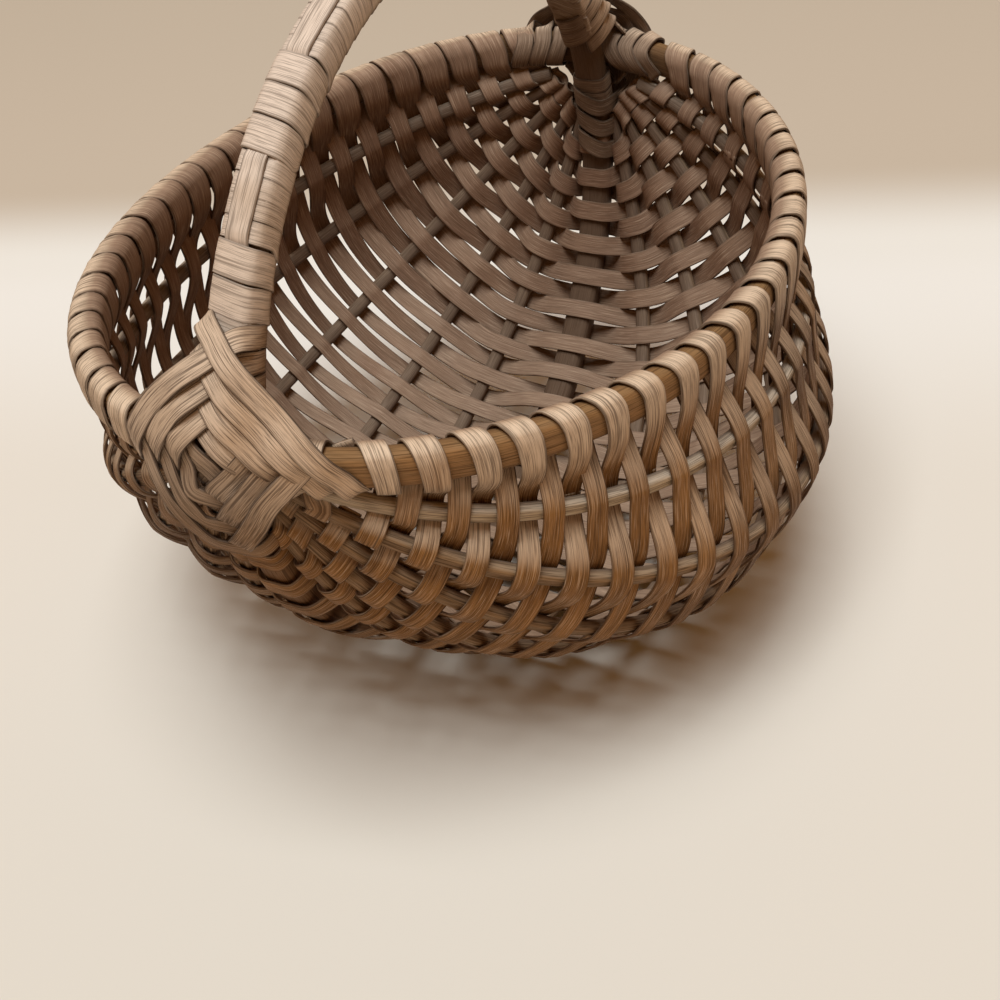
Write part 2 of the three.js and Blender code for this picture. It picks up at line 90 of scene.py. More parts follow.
def smooth_share(share: float) -> float:
    """Ease a share between nought and one at both ends."""
    held = min(max(share, 0.0), 1.0)
    return held * held * (3.0 - 2.0 * held)


def eased(value: float, low: float, high: float) -> float:
    """Ease a value from nought at one limit to one at the other."""
    return smooth_share((value - low) / (high - low))


def walked_along(points: Array) -> Array:
    """Give the distance walked along a line at each of its points."""
    gaps = np.linalg.norm(np.diff(points, axis=0), axis=1)
    return np.concatenate(([0.0], np.cumsum(gaps)))


def rounded_section(half_depth: float, half_width: float, sides: int, squareness: float) -> Array:
    """Draw a section that lies between an oval and a box.

    Args:
        half_depth: Half of its depth.
        half_width: Half of its width.
        sides: How many points go round it.
        squareness: One for an oval, and less for a squarer section.

    Returns:
        Rows of a depth and a width.
    """
    angle = np.linspace(0.0, 2.0 * math.pi, sides, endpoint=False)
    depth = np.sign(np.cos(angle)) * np.abs(np.cos(angle)) ** squareness * half_depth
    width = np.sign(np.sin(angle)) * np.abs(np.sin(angle)) ** squareness * half_width
    return np.column_stack([depth, width])


class Rail:
    """A curve that is walked by the length along it."""

    PROBE = 0.5

    def __init__(self, curve: Callable[[Array], Array], start: float, end: float, steps: int = 800) -> None:
        """Sample the curve.

        Args:
            curve: Gives points for an array of angles.
            start: The first angle.
            end: The last angle.
            steps: How many short chords stand for the curve.
        """
        self.points = curve(np.linspace(start, end, steps + 1))
        self.lengths = walked_along(self.points)
        self.length = float(self.lengths[-1])

    def point(self, distance: float) -> Array:
        """Give the point at a distance along the rail."""
        return np.array([np.interp(distance, self.lengths, self.points[:, axis]) for axis in range(3)])

    def tangent(self, distance: float) -> Array:
        """Give the direction of travel at a distance along the rail."""
        return unit(self.point(distance + self.PROBE) - self.point(distance - self.PROBE))


@dataclass(frozen=True)
class BasketForm:
    """The hoops and ribs that the reed is woven on, with the part's own sizes."""

    rim_half_width: float = 90.0
    rim_half_length: float = 105.5
    rim_saddle: float = 3.0
    rim_height: float = 9.2
    rim_thickness: float = 6.4
    hoop_half_length: float = 99.605
    hoop_half_height: float = 93.5
    hoop_drop: float = 17.0
    hoop_width: float = 9.5
    hoop_thickness: float = 7.0
    rib_angles: tuple[float, ...] = (17.5, 30.8, 45.3, 60.4, 73.7)
    rib_reach: tuple[float, ...] = (99.495, 117.702, 123.903, 123.003, 119.502)
    rib_half_length: float = 102.0
    rib_start: tuple[float, ...] = (16.0, 15.0, 15.0, 16.0, 17.0)
    rib_half_width: float = 2.2
    rib_half_depth: float = 1.9
    rib_tip: tuple[float, ...] = (0.92, 0.7, 0.7, 0.7, 0.7)
    rib_taper: float = 30.0

    def rim_point(self, angle: Array) -> Array:
        """Give points on the rim's centre line."""
        return np.stack(
            [
                self.rim_half_width * np.cos(angle),
                self.rim_half_length * np.sin(angle),
                -self.rim_saddle * np.cos(2.0 * angle),
            ],
            axis=-1,
        )

    def hoop_point(self, angle: Array) -> Array:
        """Give points on the handle hoop's centre line, from the front ear over the top."""
        return np.stack(
            [
                np.zeros_like(angle),
                -self.hoop_half_length * np.cos(angle),
                self.hoop_half_height * np.sin(angle) - self.hoop_drop,
            ],
            axis=-1,
        )

    def rib_point(self, index: int, angle: Array) -> Array:
        """Give points on the centre line of one right-hand rib."""
        slope = math.radians(self.rib_angles[index])
        reach = self.rib_reach[index] * np.sin(angle)
        return np.stack(
            [reach * math.cos(slope), -self.rib_half_length * np.cos(angle), -reach * math.sin(slope)],
            axis=-1,
        )

    def rib_size(self, index: int, distance: float) -> float:
        """Give a rib's size at a distance along it, as a share of its full size."""
        start = self.rib_start[index]
        near = min(distance - start, self.rib_rails[index].length - start - distance)
        tip = self.rib_tip[index]
        return tip + (1.0 - tip) * smooth_share(near / self.rib_taper)

    @cached_property
    def ear_angle(self) -> float:
        """The angle on the handle hoop at which it crosses the rim."""
        return math.asin((self.hoop_drop + self.rim_saddle) / self.hoop_half_height)

    @cached_property
    def rim_rail(self) -> Rail:
        """The right half of the rim, from the front ear."""
        return Rail(self.rim_point, -math.pi / 2, math.pi / 2)

    @cached_property
    def keel_rail(self) -> Rail:
        """The handle hoop under the basket, from the front ear."""
        return Rail(lambda angle: self.hoop_point(-angle), -self.ear_angle, math.pi + self.ear_angle)

    @cached_property
    def handle_rail(self) -> Rail:
        """The handle hoop over the basket, from the front ear."""
        return Rail(self.hoop_point, self.ear_angle, math.pi - self.ear_angle)

    @cached_property
    def rib_rails(self) -> list[Rail]:
        """The right-hand ribs, from the rim down."""
        return [
            Rail(lambda angle, index=index: self.rib_point(index, angle), 0.0, math.pi)
            for index in range(len(self.rib_angles))
        ]


@dataclass
class Bend:
    """One place that a strip passes through."""

    point: Array
    across: Array
    width: float
    lift: Array = field(default_factory=lambda: np.zeros(3))


@dataclass(frozen=True)
class ReedProfile:
    """The cross-section of a flat reed: two crowned faces ridged along the grain, and round edges."""

    thickness: float
    edge: float = 0.9
    ridge: float = 0.025
    shares: tuple[float, ...] = (0.0, 0.14, 0.27, 0.37, 0.445, 0.478)

    def outline(self, rng: np.random.Generator) -> Array:
        """Draw the section once round.

        Args:
            rng: Source of the small ridges.

        Returns:
            Rows of a share across the strip and a height in millimetres.
        """
        share = np.concatenate([-np.array(self.shares[:0:-1]), self.shares])
        crown = self.edge + (1.0 - self.edge) * (1.0 - (2.0 * share) ** 2)
        top = self.thickness / 2 * crown + rng.normal(0.0, self.ridge, len(share))
        low = self.thickness / 2 * crown + rng.normal(0.0, self.ridge, len(share))
        upper = np.column_stack([share, top])
        lower = np.column_stack([share[::-1], -low[::-1]])
        return np.vstack([[-0.5, 0.0], upper, [0.5, 0.0], lower])


def edge_shares(outline: Array) -> Array:
    """Tell how near each point of a reed's section lies to an edge, from nought to one."""
    return np.array([smooth_share((abs(share) - EDGE_START) / EDGE_SPAN) for share in outline[:, 0]])


class Strip:
    """A flat strip that runs smoothly through its bends."""

    def __init__(self, bends: Sequence[Bend], step: float = 1.3) -> None:
        """Run a smooth line through the bends.

        Args:
            bends: The places that the strip passes through.
            step: The longest gap between two sections of the mesh.
        """
        knots = np.array([bend.point for bend in bends])
        across = np.array([bend.across for bend in bends])
        widths = np.array([bend.width for bend in bends])
        lifts = np.array([bend.lift for bend in bends])
        gaps = np.maximum(np.linalg.norm(np.diff(knots, axis=0), axis=1), SHORTEST_GAP)
        slopes = np.diff(knots, axis=0) / gaps[:, None]
        leads = np.empty_like(knots)
        leads[0], leads[-1] = slopes[0], slopes[-1]
        before, after = gaps[:-1, None], gaps[1:, None]
        leads[1:-1] = (slopes[:-1] * after + slopes[1:] * before) / (before + after)
        places, owners = [], []
        for index, gap in enumerate(gaps):
            count = max(2, math.ceil(gap / step))
            share = np.arange(count) / count
            places.extend(share)
            owners.extend([index] * count)
        places.append(1.0)
        owners.append(len(gaps) - 1)
        share = np.array(places)[:, None]
        owner = np.array(owners)
        span = gaps[owner, None]
        cube, square = share**3, share**2
        self.points = (
            (2 * cube - 3 * square + 1) * knots[owner]
            + (cube - 2 * square + share) * span * leads[owner]
            + (3 * square - 2 * cube) * knots[owner + 1]
            + (cube - square) * span * leads[owner + 1]
        )
        tangents = unit(np.gradient(self.points, axis=0))
        ease = 3 * square - 2 * cube
        sideways = across[owner] * (1 - ease) + across[owner + 1] * ease
        sideways -= tangents * np.sum(sideways * tangents, axis=1, keepdims=True)
        self.across = unit(sideways)
        self.normals = np.cross(tangents, self.across)
        flat = ease[:, 0]
        self.widths = widths[owner] * (1 - flat) + widths[owner + 1] * flat
        self.lifts = lifts[owner] * (1 - ease) + lifts[owner + 1] * ease
        self.walked = walked_along(self.points)

    def rings(self, outline: Array) -> Array:
        """Set the section at each step along the strip.

        Args:
            outline: Rows of a share across the strip and a height.

        Returns:
            An array of rings of points.
        """
        share, height = outline[:, 0], outline[:, 1]
        side = self.across[:, None, :] * (share[None, :, None] * self.widths[:, None, None])
        face = self.normals[:, None, :] * height[None, :, None]
        cup = self.lifts[:, None, :] * ((2.0 * share) ** 2)[None, :, None]
        return self.points[:, None, :] + side + face + cup


class Ends(Enum):
    """How the two ends of a sweep are finished."""

    CAPPED = "capped"
    JOINED = "joined"


class Piece:
    """A mesh that grows from one or more sweeps and then takes its place on the frame."""

    def __init__(self, name: str, lift: float) -> None:
        """Start an empty piece.

        Args:
            name: The name of the finished object.
            lift: The rim's height above the ground.
        """
        self.name = name
        self.lift = lift
        self.bm = bmesh.new()
        self.uv = self.bm.loops.layers.uv.new("grain")
        # How near each point lies to a strip's edge, which the finishes use for painted shade.
        self.edge = self.bm.verts.layers.float.new("edge")

    def sweep(self, rings: Array, walked: Array, ends: Ends, offset: float = 0.0,
              edges: Array | None = None) -> None:
        """Wrap a grid round a run of sections.

        Args:
            rings: Rings of points, one for each section.
            walked: The distance along the sweep at each ring.
            ends: Whether the ends are capped or meet.
            offset: Where along its grain the sweep begins.
            edges: How near each point of a section lies to an edge.
        """
        count, sides = rings.shape[:2]
        if edges is None:
            edges = np.zeros(sides)
        if ends is Ends.JOINED:
            closing = np.linalg.norm(rings[0] - rings[-1], axis=1).mean()
            rings = np.concatenate([rings, rings[:1]])
            walked = np.append(walked, walked[-1] + closing)
            count += 1
        round_it = walked_along(np.concatenate([rings[0], rings[0][:1]]))
        made = bmesh.ops.create_grid(self.bm, x_segments=sides, y_segments=count - 1, size=0.5)
        places = {}
        for vert in made["verts"]:
            column = round((vert.co.x + 0.5) * sides)
            row = round((vert.co.y + 0.5) * (count - 1))
            places[vert] = (round_it[column], walked[row] + offset)
            vert[self.edge] = float(edges[column % sides])
            # A point that would lie below the ground is set on it.
            spot = rings[row, column % sides]
            vert.co = Vector((spot[0], spot[1], max(spot[2] + self.lift, 0.0))) * MM
        faces = {face for vert in made["verts"] for face in vert.link_faces}
        for face in faces:
            face.smooth = True
            for corner in face.loops:
                corner[self.uv].uv = places[corner.vert]
        bmesh.ops.remove_doubles(self.bm, verts=made["verts"], dist=WELD_DISTANCE)
        if ends is Ends.CAPPED:
            rims = [edge for edge in self.bm.edges if edge.is_boundary]
            bmesh.ops.holes_fill(self.bm, edges=rims, sides=0)

    def finish(self, nodes: Sequence[str], slot: str, material: bpy.types.Material) -> bpy.types.Object:
        """Turn the mesh into an object in place of its nodes.

        Args:
            nodes: The frame's nodes that the piece stands for.
            slot: Not used.
            material: The finish.

        Returns:
            The finished object.
        """
        bmesh.ops.recalc_face_normals(self.bm, faces=self.bm.faces[:])
        mesh = bpy.data.meshes.new(self.name)
        self.bm.to_mesh(mesh)
        self.bm.free()
        mesh.materials.append(material)
        made = bpy.data.objects.new(self.name, mesh)
        bpy.context.scene.collection.objects.link(made)
        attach(made, BODY)
        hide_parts(*nodes)
        LOG.info("%s: %d faces", self.name, len(mesh.polygons))
        return made


def mirrored(point: Array) -> Array:
    """Reflect a point or direction to the left side of the basket."""
    return point * np.array([-1.0, 1.0, 1.0])


@dataclass
class Hoops:
    """The rim and the handle hoop, two rings of split wood."""

    form: BasketForm
    lift: float
    steps: int = 220
    sides: int = 20
    squareness: float = 0.62
    waves: tuple[int, ...] = (5, 9, 14, 23)
    wave_size: float = 0.014
    wave_phase: float = 6.3

    @cached_property
    def angles(self) -> Array:
        """The angles of the sections round a hoop."""
        return np.linspace(0.0, 2.0 * math.pi, self.steps, endpoint=False)

    def section(self, thickness: float, width: float) -> Array:
        """Draw a hoop's section as rows of a depth and a width."""
        return rounded_section(thickness / 2, width / 2, self.sides, self.squareness)

    def ring(self, name: str, centres: Array, outward: Array, sideways: Array, section: Array,
             rng: np.random.Generator) -> Piece:
        """Sweep a section once round a hoop.

        Args:
            name: The piece's name.
            centres: Points on the hoop's centre line.
            outward: The direction of depth at each point.
            sideways: The direction of width at each point.
            section: Rows of a depth and a width.
            rng: Source of the hoop's small unevenness.

        Returns:
            The piece, ready to finish.
        """
        swell = np.ones(self.steps)
        for waves in self.waves:
            size = rng.normal(0.0, self.wave_size)
            swell += size * np.sin(waves * self.angles + rng.uniform(0.0, self.wave_phase))
        rings = (
            centres[:, None, :]
            + outward[:, None, :] * (section[None, :, 0:1] * swell[:, None, None])
            + sideways[:, None, :] * (section[None, :, 1:2] * swell[::-1, None, None])
        )
        piece = Piece(name, self.lift)
        piece.sweep(rings, walked_along(centres), Ends.JOINED)
        return piece

    def rim(self, rng: np.random.Generator) -> Piece:
        """Make the rim hoop."""
        form, angle = self.form, self.angles
        slopes = [np.cos(angle) / form.rim_half_width, np.sin(angle) / form.rim_half_length, 0.0 * angle]
        outward = unit(np.stack(slopes, axis=-1))
        upward = np.tile([0.0, 0.0, 1.0], (self.steps, 1))
        section = self.section(form.rim_thickness, form.rim_height)
        return self.ring("rim", form.rim_point(angle), outward, upward, section, rng)

    def handle(self, rng: np.random.Generator) -> Piece:
        """Make the hoop of the handle and keel."""
        form, angle = self.form, self.angles
        slopes = [0.0 * angle, -np.cos(angle) / form.hoop_half_length, np.sin(angle) / form.hoop_half_height]
        outward = unit(np.stack(slopes, axis=-1))
        across = np.tile([1.0, 0.0, 0.0], (self.steps, 1))
        section = self.section(form.hoop_thickness, form.hoop_width)
        return self.ring("handle_core", form.hoop_point(angle), outward, across, section, rng)


@dataclass
class Ribs:
    """Ten split ribs, thinned to a point where they are pushed into the ears."""

    form: BasketForm
    lift: float
    steps: int = 120
    sides: int = 18
    squareness: float = 0.75
    groove: float = 0.42
    grain_step: float = 700.0
    left_grain: float = 350.0

    def section(self) -> Array:
        """Draw a flat oval with a groove down its outer face, as rows of a depth and a width."""
        form = self.form
        section = rounded_section(form.rib_half_depth, form.rib_half_width, self.sides, self.squareness)
        section[0, 0] -= self.groove
        return section

    def rib(self, index: int, left: bool) -> Piece:
        """Make one rib.

        Args:
            index: Counted from the rim down, from nought.
            left: True for the rib on the left of the basket.

        Returns:
            The piece, ready to finish.
        """
        rail = self.form.rib_rails[index]
        start = self.form.rib_start[index]
        slope = math.radians(self.form.rib_angles[index])
        sideways = np.array([math.sin(slope), 0.0, math.cos(slope)])
        section = self.section()
        distances = np.linspace(start, rail.length - start, self.steps)
        rings = []
        for distance in distances:
            point = rail.point(distance)
            outward = unit(np.cross(sideways, rail.tangent(distance)))
            if outward @ np.array([point[0], 0.0, point[2]]) < 0:
                outward = -outward
            size = self.form.rib_size(index, distance)
            rings.append(point + size * (section[:, :1] * outward + section[:, 1:] * sideways))
        shape = np.array(rings)
        if left:
            shape = mirrored(shape)
        side = "left" if left else "right"
        piece = Piece(f"rib_{side}_{index + 1}_split", self.lift)
        grain = self.grain_step * index + (self.left_grain if left else 0.0)
        piece.sweep(shape, distances, Ends.CAPPED, grain)
        return piece


@dataclass
class Weave:
    """Flat reed woven over and under the ribs, turning over the rim at the end of each row."""

    form: BasketForm
    lift: float
    rng: np.random.Generator
    rows: int = 45
    strands: int = 11
    rows_per_strand: int = 4
    starts: tuple[float, ...] = (36.5, 33.5, 32.5, 32.5, 34.5, 39.0, 43.0)
    fill_rows: int = 4
    short_rib: int = 2
    reed_width: float = 5.9
    row_gap: float = 0.15
    turn_width: float = 6.3
    left_turn_width: float = 8.3
    rear_turn_swell: float = 0.35
    thickness: float = 0.78
    clearance: float = 0.4
    turn_slack: float = 0.5
    turn_cup: float = 0.12
    back_swell: float = 0.12
    front_slack: float = 0.1
    open_slack: float = 0.2
    open_lift: float = 0.5
    wobble: float = 0.28
    loose_share: float = 0.6
    drift_share: float = 0.8
    width_spread: float = 0.03
    tip_room: float = 1.0
    keel_inset: float = 0.9
    keel_drop: float = 0.15
    rib_hold: float = 2.1
    rib_room: float = 0.2
    rib_drop: float = 0.32
    fold_share: float = 0.9
    grain_step: float = 5000.0
    keel: int = 6
    uprights: int = 13
    # Where the weave is closer, more open, or wider over the rim, in millimetres from the basket's middle.
    back_limits: Limits = (-35.0, 55.0)
    back_heights: Limits = (-95.0, -40.0)
    back_slant: float = 0.5
    front_sides: Limits = (-5.0, -45.0)
    front_limits: Limits = (30.0, -30.0)
    open_heights: Limits = (-40.0, -65.0)
    open_sides: Limits = (-40.0, -70.0)
    open_front: Limits = (-15.0, 10.0)
    open_back: Limits = (80.0, 45.0)
    rear_limits: Limits = (-40.0, 30.0)
    # Over the rim: depth, height, share of the way to the next row, and share of the width.
    over_rim: tuple[tuple[float, ...], ...] = (
        (1.0, -0.62, 0.0, 0.93),
        (1.03, 0.1, 0.02, 0.98),
        (0.93, 0.62, 0.08, 1.0),
        (0.55, 0.95, 0.2, 1.0),
        (0.0, 1.03, 0.36, 1.0),
        (-0.55, 0.95, 0.56, 1.0),
        (-0.93, 0.62, 0.76, 1.0),
        (-1.03, 0.1, 0.93, 0.98),
        (-1.0, -0.62, 1.0, 0.93),
    )

    def __post_init__(self) -> None:
        """Draw the small unevenness of every row at every upright."""
        count = self.rows + 2 * self.fill_rows + 2
        loose = self.rng.normal(0.0, self.wobble, (self.uprights, count))
        drift = self.rng.normal(0.0, self.wobble * self.drift_share, count)
        self.jitter = loose * self.loose_share + drift[None, :]
        self.widths = self.rng.normal(1.0, self.width_spread, count)

    def upright(self, index: int, row: float) -> tuple[Array, Array, float, float]:
        """Find where a row crosses an upright.

        Args:
            index: Upright, counted from the right rim under the keel to the left rim.
            row: Row, counted from the front ear, which may lie between two rows.

        Returns:
            The point on the upright, its direction there, the spacing of the rows, and the distance along it.
        """
        side = index if index <= self.keel else self.uprights - 1 - index
        rails = [self.form.rim_rail, *self.form.rib_rails, self.form.keel_rail]
        rail = rails[side]
        start = self.starts[side]
        pitch = (rail.length - 2.0 * start) / self.rows
        whole = math.floor(row)
        share = row - whole
        place = whole + self.fill_rows
        near = self.jitter[index, place] * (1 - share) + self.jitter[index, place + 1] * share
        distance = start + pitch * (row + 0.5) + near
        shortest = self.form.rib_start[side - 1] + self.tip_room if 0 < side < self.keel else 0.0
        distance = min(max(distance, shortest), rail.length - shortest)
        point, tangent = rail.point(distance), rail.tangent(distance)
        if index > self.keel:
            return mirrored(point), mirrored(tangent), pitch, distance
        return point, tangent, pitch, distance

    def is_outside(self, index: int, row: int) -> bool:
        """Tell whether a row passes outside an upright."""
        return (index + row) % 2 == 0

    def backward(self, point: Array) -> float:
        """Tell how far a point lies high up at the back left of the basket, where the weave is closer."""
        behind = eased(point[1] - self.back_slant * point[0], *self.back_limits)
        return behind * eased(point[2], *self.back_heights)

    def forward(self, point: Array) -> float:
        """Tell how far a point lies at the front left of the basket, where the weave is more open."""
        return eased(point[0], *self.front_sides) * eased(point[1], *self.front_limits)

    def opened(self, point: Array) -> float:
        """Tell how far a point lies low on the left wall, where the reed stands off the ribs."""
        low = eased(point[2], *self.open_heights) * eased(point[0], *self.open_sides)
        return low * eased(point[1], *self.open_front) * eased(point[1], *self.open_back)

    def crossing(self, index: int, row: int, heading: int) -> list[Bend]:
        """Bend a row round one rib or the keel.

        Args:
            index: The upright.
            row: The row.
            heading: One where the row runs from right to left, and minus one where it runs back.

        Returns:
            The bends, in the order of travel.
        """
        point, tangent, pitch, distance = self.upright(index, row)
        before = self.upright(index - 1, row)[0]
        after = self.upright(index + 1, row)[0]
        along = unit(after - before)
        outward = unit(np.cross(along, tangent))
        if outward @ np.array([point[0], 0.0, point[2] + self.form.hoop_drop]) < 0:
            outward = -outward
        side = 1.0 if self.is_outside(index, row) else -1.0
        width = min(self.reed_width * self.widths[row + self.fill_rows], pitch - self.row_gap)
        opened = self.opened(point)
        width *= 1.0 + self.back_swell * self.backward(point) * (1.0 - opened)
        width *= 1.0 - self.front_slack * self.forward(point) - self.open_slack * opened
        lift = self.thickness / 2 + self.clearance + self.open_lift * opened
        if index == self.keel:
            depth = self.form.hoop_thickness / 2 + lift
            reach, drop = self.form.hoop_width / 2 - self.keel_inset, self.keel_drop
        else:
            rib = min(index, self.uprights - 1 - index) - 1
            depth = self.form.rib_half_depth * self.form.rib_size(rib, distance) + lift
            room = min(np.linalg.norm(point - before), np.linalg.norm(point - after))
            reach, drop = min(self.rib_hold, self.rib_room * room), self.rib_drop
        plan = ((-reach, depth - drop), (0.0, depth), (reach, depth - drop))
        return [
            Bend(point + along * (shift * heading) + outward * (side * height), tangent, width)
            for shift, height in plan
        ]

    def rim_turn(self, index: int, row: int) -> list[Bend]:
        """Fold a row over the rim into the next row.

        Args:
            index: The rim's place among the uprights, first or last.
            row: The row that arrives.

        Returns:
            The bends, in the order of travel.
        """
        lift = self.thickness / 2 + self.turn_slack
        reach = self.form.rim_thickness / 2 + lift
        top = self.form.rim_height / 2 + lift
        width = self.turn_width if index == 0 else self.left_turn_width
        width *= self.widths[row + self.fill_rows]
        leaving = row % 2 != 0
        bends = []
        for depth, height, share, narrow in reversed(self.over_rim) if leaving else self.over_rim:
            point, tangent = self.upright(index, row + (1.0 - share if leaving else share))[:2]
            outward = unit(np.array([tangent[1], -tangent[0], 0.0]))
            if outward[0] * point[0] < 0:
                outward = -outward
            away = outward * (depth * reach) + np.array([0.0, 0.0, height * top])
            if index == 0:
                swell = self.rear_turn_swell * eased(point[1], *self.rear_limits)
            else:
                swell = self.back_swell * self.backward(point)
            wide = width * narrow * (1.0 + swell)
            bends.append(Bend(point + away, tangent, wide, unit(away) * -self.turn_cup))
        return bends

    def row_bends(self, row: int, first: int = 1) -> list[Bend]:
        """Bend one row past the ribs.

        Args:
            row: The row.
            first: The upright that it reaches on the right.

        Returns:
            The bends, in the order of travel.
        """
        heading = 1 if row % 2 == 0 else -1
        passed = range(first, self.uprights - 1)
        bends = []
        for index in passed if heading == 1 else reversed(passed):
            bends.extend(self.crossing(index, row, heading))
        return bends

    def rib_turn(self, index: int, row: int) -> list[Bend]:
        """Fold a short row round a rib into the next row.

        Args:
            index: The rib's place among the uprights.
            row: The row that arrives.

        Returns:
            The bend beside the rib.
        """
        point, tangent = self.upright(index, row + 0.5)[:2]
        rim = self.upright(0 if index < self.keel else self.uprights - 1, row + 0.5)[0]
        beside = unit(rim - point) * (self.form.rib_half_width + self.thickness)
        return [Bend(point + beside, tangent, self.reed_width * self.fold_share)]

    def short_rows(self) -> list[Bend]:
        """Weave the three short rows by the front ear, which leave the first rib on the right bare."""
        rib = self.short_rib
        return [
            *self.row_bends(-3, rib),
            *self.rib_turn(rib, -3),
            *self.row_bends(-2, rib),
            *self.rim_turn(self.uprights - 1, -2),
            *self.row_bends(-1, rib),
        ]

    def strand(self, number: int) -> Piece:
        """Weave one length of reed.

        Args:
            number: Counted from the front ear, from nought.

        Returns:
            The piece, ready to finish.
        """
        first = number * self.rows_per_strand
        last = self.rows if number == self.strands - 1 else first + self.rows_per_strand
        runs, bends = [], []
        left = self.uprights - 1
        if first == 0:
            runs.append(self.short_rows())
            bends.extend(self.rim_turn(0, -1))
        ended = last == self.rows
        for row in range(first, last + (2 if ended else 0)):
            bends.extend(self.row_bends(row))
            bends.extend(self.rim_turn(left if row % 2 == 0 else 0, row))
        if ended:
            bends.extend([*self.row_bends(last + 2), *self.rib_turn(1, last + 2), *self.row_bends(last + 3)])
        else:
            bends.extend(self.crossing(1, last, 1)[:2])
        outline = ReedProfile(self.thickness).outline(self.rng)
        piece = Piece(f"reed_row_{number + 1:02d}", self.lift)
        grain = self.grain_step * number
        for run in (*runs, bends):
            strip = Strip(run)
            piece.sweep(strip.rings(outline), strip.walked, Ends.CAPPED, grain, edge_shares(outline))
        return piece


@dataclass(frozen=True)
class Spoke:
    """One of the four arms that an ear is wound on."""

    rail: Rail
    mirror: bool
    half: float
    depth: float
    start: float
    pitch: float
    slip: float
    arrive: float
    leave: float
    dome: float


class Face(Enum):
    """Where round an arm a bend of an ear lies."""

    ARRIVING = "arriving"
    BESIDE = "beside"
    BEHIND = "behind"
    LEAVING = "leaving"


